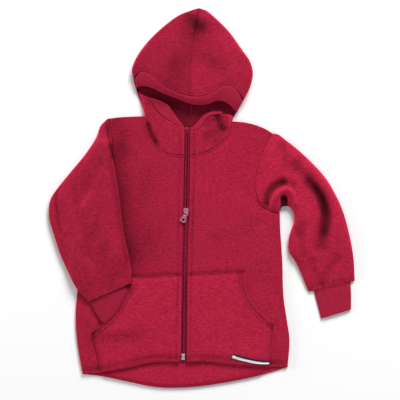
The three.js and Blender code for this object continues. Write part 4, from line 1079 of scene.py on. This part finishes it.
left_band = ([(-20.5, 132.8), (-9.2, 132.4), (-1.2, 136.9), (6.6, 148.4), (13.5, 157.2), (25, 162),
              (40.6, 163.2)],
             [(-20.3, 136.9), (-11.9, 142.2), (-3.9, 151.1), (7.8, 162.4), (21.4, 167.7), (40.6, 168.1)])
# Each band also gets a patch of painted shadow, which falls only on the right collar band where its collar
# shades it.
for name, bottom, top, under, size, cut, node in (
        ("hood_band_rib", lip, lip_seam, band_height, (235, 30), (250, 62), "hood_band"),
        ("collar_band_rib_right", (right_band[0],), (right_band[1],),
         lambda x, y, s, t: collar_height(0.3 + 0.7 * s, 1), (85, 10), (90, 34), "hood_band_right"),
        ("collar_band_rib_left", (left_band[0],), (left_band[1],),
         lambda x, y, s, t: collar_height(1 - 0.75 * s, 1), (78, 9), (74, 28), "hood_band_left")):
    band = panel(name, (edge(*bottom), edge(*top), edge([bottom[0][0], top[0][0]]),
                        edge([bottom[-1][-1], top[-1][-1]])),
                 under, RIB, size, spacing=0.62, relief=[groove(bend_through(sum(top, [])), 1.2, 0.5, 0.8)],
                 shade_marks=[fold([(-101.4, 193), (-87.8, 188.2), (-74.1, 181.3)], 13, 0.35)])
    laid(band, node, rib_knit)

# Zip: two woven tapes behind the front edges, each with half a nylon coil along its edge.
# Closed below the slider and standing a little apart above it.
ZIP_BOTTOM = (-33.1, -315.9)
ZIP_TOP = (-26.7, 137.9)
SLIDER_Y = -27.0
ZIP_SPREAD = 1.6
ZIP_BOW = 1.8  # the zip lies this much to the side below the slider
BOW_ROWS = (-40.0, -120.0)
TAPE_WIDTH = 13.0
CHAIN_BASE = TAPE_BASE + TAPE + SEAM
CHAIN_HEIGHT = 2.2
CHAIN_PLAY = 0.4
TAPE_GAP = 0.15  # mm from the zip's middle to each tape
COIL_PITCH = 1.45
COIL_START = 13.5  # mm above the tapes' lower end, just past the stop


def zip_x(y):
    """The zip's middle at a height on the photo, with its bow."""
    up = y - ZIP_BOTTOM[1]
    straight = ZIP_BOTTOM[0] + (ZIP_TOP[0] - ZIP_BOTTOM[0]) * up / (ZIP_TOP[1] - ZIP_BOTTOM[1])
    return straight - ZIP_BOW * smooth(*BOW_ROWS, y)


def zip_line(side, away):
    """A line beside the zip's middle, spread where the zip is open."""
    rows = np.linspace(ZIP_BOTTOM[1], ZIP_TOP[1], 60)
    spread = ZIP_SPREAD * smooth(SLIDER_Y - 3, SLIDER_Y + 3, rows)
    return [(zip_x(y) + side * (away + wide), y) for y, wide in zip(rows, spread)]


tape_weave = cloth_material("tape_weave", (0.17, 0.0035, 0.018), (0.32, 0.008, 0.038), 900.0, 200.0, 0.35,
                            0.0002, 0.05)

# The shader effect that the nylon and the metals share: two tones, mixed by soft noise.
mottle, entry, leave = effect_group(
    "mottle", {"Vector": "Vector", "Scale": "Float", "Detail": "Float", "Dark": "Color", "Light": "Color"},
    {"Color": "Color", "Share": "Float"})
noise = shading(mottle, "ShaderNodeTexNoise",
                links={socket: entry[socket] for socket in ("Vector", "Scale", "Detail")})
tint = shading(mottle, "ShaderNodeMix", {"data_type": "RGBA"},
               {"Factor": noise.outputs["Fac"], 6: entry["Dark"], 7: entry["Light"]})
mottle.links.new(tint.outputs[2], leave["Color"])
mottle.links.new(noise.outputs["Fac"], leave["Share"])


def mottled(tree, shader, scale, detail, dark, light):
    """Gives a shader two mottled tones, and returns the light one's share."""
    place = tree.nodes.new("ShaderNodeTexCoord")
    effect = shading(tree, "ShaderNodeGroup", {"node_tree": mottle}, {"Vector": place.outputs["Object"]},
                     Scale=scale, Detail=detail, Dark=(*dark, 1), Light=(*light, 1))
    tree.links.new(effect.outputs["Color"], shader.inputs["Base Color"])
    return effect.outputs["Share"]


coil_nylon, coil_tree, coil_shader = new_material("coil_nylon", Roughness=0.5, Specular_IOR_Level=0.3)
mottled(coil_tree, coil_shader, 240.0, 2.0, (0.16, 0.006, 0.026), (0.28, 0.02, 0.055))


def apply_all(piece):
    """Applies a piece's modifiers."""
    bpy.context.view_layer.objects.active = piece
    piece.select_set(True)
    for modifier in list(piece.modifiers):
        bpy.ops.object.modifier_apply(modifier=modifier.name)
    piece.select_set(False)


def settle(piece):
    """Bakes a hard piece's place into its mesh, so that it sits at the origin unturned."""
    bpy.context.view_layer.objects.active = piece
    piece.select_set(True)
    bpy.ops.object.transform_apply(location=True, rotation=True, scale=True)
    bpy.ops.object.shade_smooth_by_angle(angle=math.radians(35))
    piece.select_set(False)


def joined(pieces, name):
    """Makes one named piece of several."""
    for piece in pieces:
        piece.select_set(True)
    bpy.context.view_layer.objects.active = pieces[0]
    bpy.ops.object.join()
    whole = bpy.context.object
    whole.name = name
    whole.select_set(False)
    return whole


def coil_run(side, y_from, y_to, spread):
    """Half a coil along a stretch of the zip: a rounded loop, repeated at its pitch."""
    lean = (zip_x(y_to) - zip_x(y_from)) / (y_to - y_from)
    shift = 0.0 if side > 0 else COIL_PITCH / 2
    start_y = y_from + shift
    away = 1.1 + spread - (0.35 if spread == 0 else 0)
    bpy.ops.mesh.primitive_uv_sphere_add(segments=10, ring_count=6, radius=0.5, location=(
        (zip_x(start_y) + side * away + LAY[0]) * MM, (start_y + LAY[1]) * MM, (CHAIN_BASE + 1.05) * MM))
    loop = bpy.context.object
    loop.scale = (2.5 * MM, 0.98 * MM, 2.1 * MM)
    bpy.ops.object.transform_apply(location=False, rotation=False, scale=True)
    repeat = loop.modifiers.new("repeat", "ARRAY")
    repeat.use_relative_offset = False
    repeat.use_constant_offset = True
    repeat.constant_offset_displace = (lean * COIL_PITCH * MM, COIL_PITCH * MM, 0)
    repeat.count = int((y_to - start_y) / COIL_PITCH)
    apply_all(loop)
    return loop


for side, name in ((-1, "right"), (1, "left")):
    near, far = (TAPE_GAP, TAPE_WIDTH) if side > 0 else (TAPE_WIDTH, TAPE_GAP)
    sides = [zip_line(side, away) for away in (near, far)]
    tape = panel(f"tape_weave_{name}", (edge([sides[0][0], sides[1][0]]), edge([sides[0][-1], sides[1][-1]]),
                                        edge(sides[0]), edge(sides[1])),
                 lambda x, y, s, t: TAPE_BASE, TAPE, size=(TAPE_WIDTH, 454), spacing=2.5)
    laid(tape, f"zip_tape_{name}", tape_weave)
    coil = joined([coil_run(side, ZIP_BOTTOM[1] + COIL_START, BOW_ROWS[1], 0.0),
                   coil_run(side, BOW_ROWS[1] + COIL_PITCH, SLIDER_Y - 4, 0.0),
                   coil_run(side, SLIDER_Y + 5, ZIP_TOP[1] - 3, ZIP_SPREAD)], f"zip_coil_{name}")
    settle(coil)
    stands_for(coil, f"zip_chain_{name}", coil_nylon)

# Slider, pull tab and bottom stop: small metal castings. The slider and its tab have a mauve
# coat; the tab hangs on the slider's bridge; the stop is bare metal clamped over both tapes.
SLIDER_LENGTH = 15.0
SLIDER_WIDTH = 10.0
PLATE = 1.2
TOP_PLATE_TOP = CHAIN_BASE + CHAIN_HEIGHT + CHAIN_PLAY + PLATE
BOTTOM_PLATE_BASE = TAPE_BASE - SEAM - PLATE
PIVOT_Z = TOP_PLATE_TOP + 1.3
PIVOT_Y = SLIDER_Y - 2
BRIDGE_RADIUS = 2.17
TAB_THICK = 1.4
TAB_SLEW = math.radians(-22.5)
STOP_LENGTH = 11.5


def metal(name, dark, light, roughness, wear=0.25):
    """Cast and coated metal: satin, with faint mottling and worn, brighter high spots."""
    material, tree, shader = new_material(name, Metallic=0.85)
    share = mottled(tree, shader, 900.0, 4.0, dark, light)
    rough = shading(tree, "ShaderNodeMapRange", links={"Value": share},
                    To_Min=roughness, To_Max=roughness + wear)
    relief = shading(tree, "ShaderNodeBump", links={"Height": share}, Strength=0.25, Distance=0.0001)
    tree.links.new(rough.outputs[0], shader.inputs["Roughness"])
    tree.links.new(relief.outputs["Normal"], shader.inputs["Normal"])
    return material


def soft_outline(runs, steps):
    """A closed outline of soft runs that meet in corners."""
    return np.vstack([bend_through(run, steps)[:-1] for run in runs])


def casting(name, outline, base, height, bevel, holes=()):
    """A flat casting: a disc pushed into its outline, thickened, pierced and with soft edges."""
    bpy.ops.mesh.primitive_circle_add(vertices=len(outline), radius=0.01, fill_type="NGON")
    piece = bpy.context.object
    piece.name = name
    for vertex, (x, y) in zip(piece.data.vertices, outline):
        vertex.co = (x * MM, y * MM, base * MM)
    bpy.ops.object.mode_set(mode="EDIT")
    bpy.ops.mesh.select_all(action="SELECT")
    bpy.ops.mesh.extrude_region_move(TRANSFORM_OT_translate={"value": (0, 0, height * MM)})
    bpy.ops.mesh.select_all(action="SELECT")
    bpy.ops.mesh.normals_make_consistent(inside=False)
    bpy.ops.object.mode_set(mode="OBJECT")
    piece.select_set(False)
    for (x, y), (rx, ry) in holes:
        bpy.ops.mesh.primitive_cylinder_add(vertices=28, radius=1.0, depth=2.0)
        cutter = bpy.context.object
        cutter.scale = (rx * MM, ry * MM, height * MM)
        cutter.location = (x * MM, y * MM, (base + height / 2) * MM)
        bpy.ops.object.transform_apply(location=True, rotation=True, scale=True)
        cutter.select_set(False)
        cut = piece.modifiers.new("hole", "BOOLEAN")
        cut.object = cutter
        cut.solver = "EXACT"
        apply_all(piece)
        bpy.data.objects.remove(cutter)
    soften = piece.modifiers.new("soften", "BEVEL")
    soften.width = bevel * MM
    soften.segments = 3
    soften.angle_limit = math.radians(40)
    apply_all(piece)
    return piece


def set_down(piece, x, y, z=0.0, turn=0.0):
    """Puts a casting at a place given in the drawing's millimetres."""
    piece.location = ((x + LAY[0]) * MM, (y + LAY[1]) * MM, z * MM)
    piece.rotation_euler = (0, 0, turn)
    settle(piece)


L, W = SLIDER_LENGTH, SLIDER_WIDTH
slider_side = [(0.36 * W, -L / 2), (0.395 * W, -0.3 * L), (0.44 * W, -0.08 * L), (W / 2, 0.18 * L),
               (0.47 * W, 0.36 * L), (0.36 * W, 0.46 * L), (0.22 * W, L / 2)]
notch = [(0.22 * W, L / 2), (0.11 * W, 0.455 * L), (0, 0.45 * L), (-0.11 * W, 0.455 * L), (-0.22 * W, L / 2)]
body_outline = soft_outline([slider_side, notch, [(-x, y) for x, y in slider_side[::-1]],
                             [(-0.36 * W, -L / 2), (0.36 * W, -L / 2)]], 6)
plates = [casting("slider_top", body_outline, TOP_PLATE_TOP - PLATE, PLATE, 0.45),
          casting("slider_bottom", body_outline, BOTTOM_PLATE_BASE, PLATE, 0.4)]
post_outline = [(-0.9, 3.2), (0.9, 3.2), (0.9, 6.3), (-0.9, 6.3)]
plates.append(casting("slider_post", post_outline, BOTTOM_PLATE_BASE + 0.6,
                      TOP_PLATE_TOP - BOTTOM_PLATE_BASE - PLATE, 0.2))
bpy.ops.mesh.primitive_torus_add(major_radius=BRIDGE_RADIUS * MM, minor_radius=0.72 * MM, major_segments=36,
                                 minor_segments=12, location=(0, (PIVOT_Y - SLIDER_Y) * MM, PIVOT_Z * MM),
                                 rotation=(math.pi / 2, 0, math.pi / 2))
bridge = bpy.context.object
bridge.scale = (1, 1, 1.25)
bpy.ops.object.transform_apply(location=True, rotation=True, scale=True)
bpy.ops.object.mode_set(mode="EDIT")
bpy.ops.mesh.select_all(action="SELECT")
bpy.ops.mesh.bisect(plane_co=(0, 0, (TOP_PLATE_TOP - 0.3) * MM), plane_no=(0, 0, 1),
                    clear_inner=True, use_fill=True)
bpy.ops.object.mode_set(mode="OBJECT")
bridge.select_set(False)
plates.append(bridge)
slider = joined(plates, "slider_casting")
set_down(slider, zip_x(SLIDER_Y), SLIDER_Y)
coated = metal("mauve_coating", (0.40, 0.13, 0.2), (0.66, 0.3, 0.4), 0.34)
stands_for(slider, "zip_slider", coated)

tab_side = [(3.5, 0.7), (3.5, -2.5), (3.5, -5), (3.9, -8), (4.9, -11.5), (5.8, -15), (5.5, -17.6),
            (4.0, -19.3), (0, -20)]
tab_outline = soft_outline([tab_side, [(-x, y) for x, y in tab_side[::-1]], [(-3.5, 0.7), (3.5, 0.7)]], 5)
tab = casting("tab_casting", tab_outline, -TAB_THICK / 2, TAB_THICK, 0.45,
              [((0, -14.5), (3, 2.25)), ((0, -2.75), (2.2, 2.05))])
set_down(tab, zip_x(PIVOT_Y), PIVOT_Y, PIVOT_Z, TAB_SLEW)
stands_for(tab, "pull_tab", coated, "pull_tab")

S = STOP_LENGTH
stop_side = [(3.4, 0), (3.5, 2), (2.7, 4.6), (2.4, S / 2), (2.7, 7.0), (3.3, 9.4), (3.1, S)]
stop_outline = soft_outline([stop_side, [(3.1, S), (-3.1, S)], [(-x, y) for x, y in stop_side[::-1]],
                             [(-3.4, 0), (3.4, 0)]], 5)
stop = casting("stop_casting", stop_outline, CHAIN_BASE, 2.6, 0.55, [((0, 0.45 * S), (1, 1))])
set_down(stop, zip_x(ZIP_BOTTOM[1] + 1), ZIP_BOTTOM[1] + 1)
bare_metal = metal("bare_metal", (0.55, 0.55, 0.57), (0.85, 0.85, 0.86), 0.28)
stands_for(stop, "bottom_stop", bare_metal)
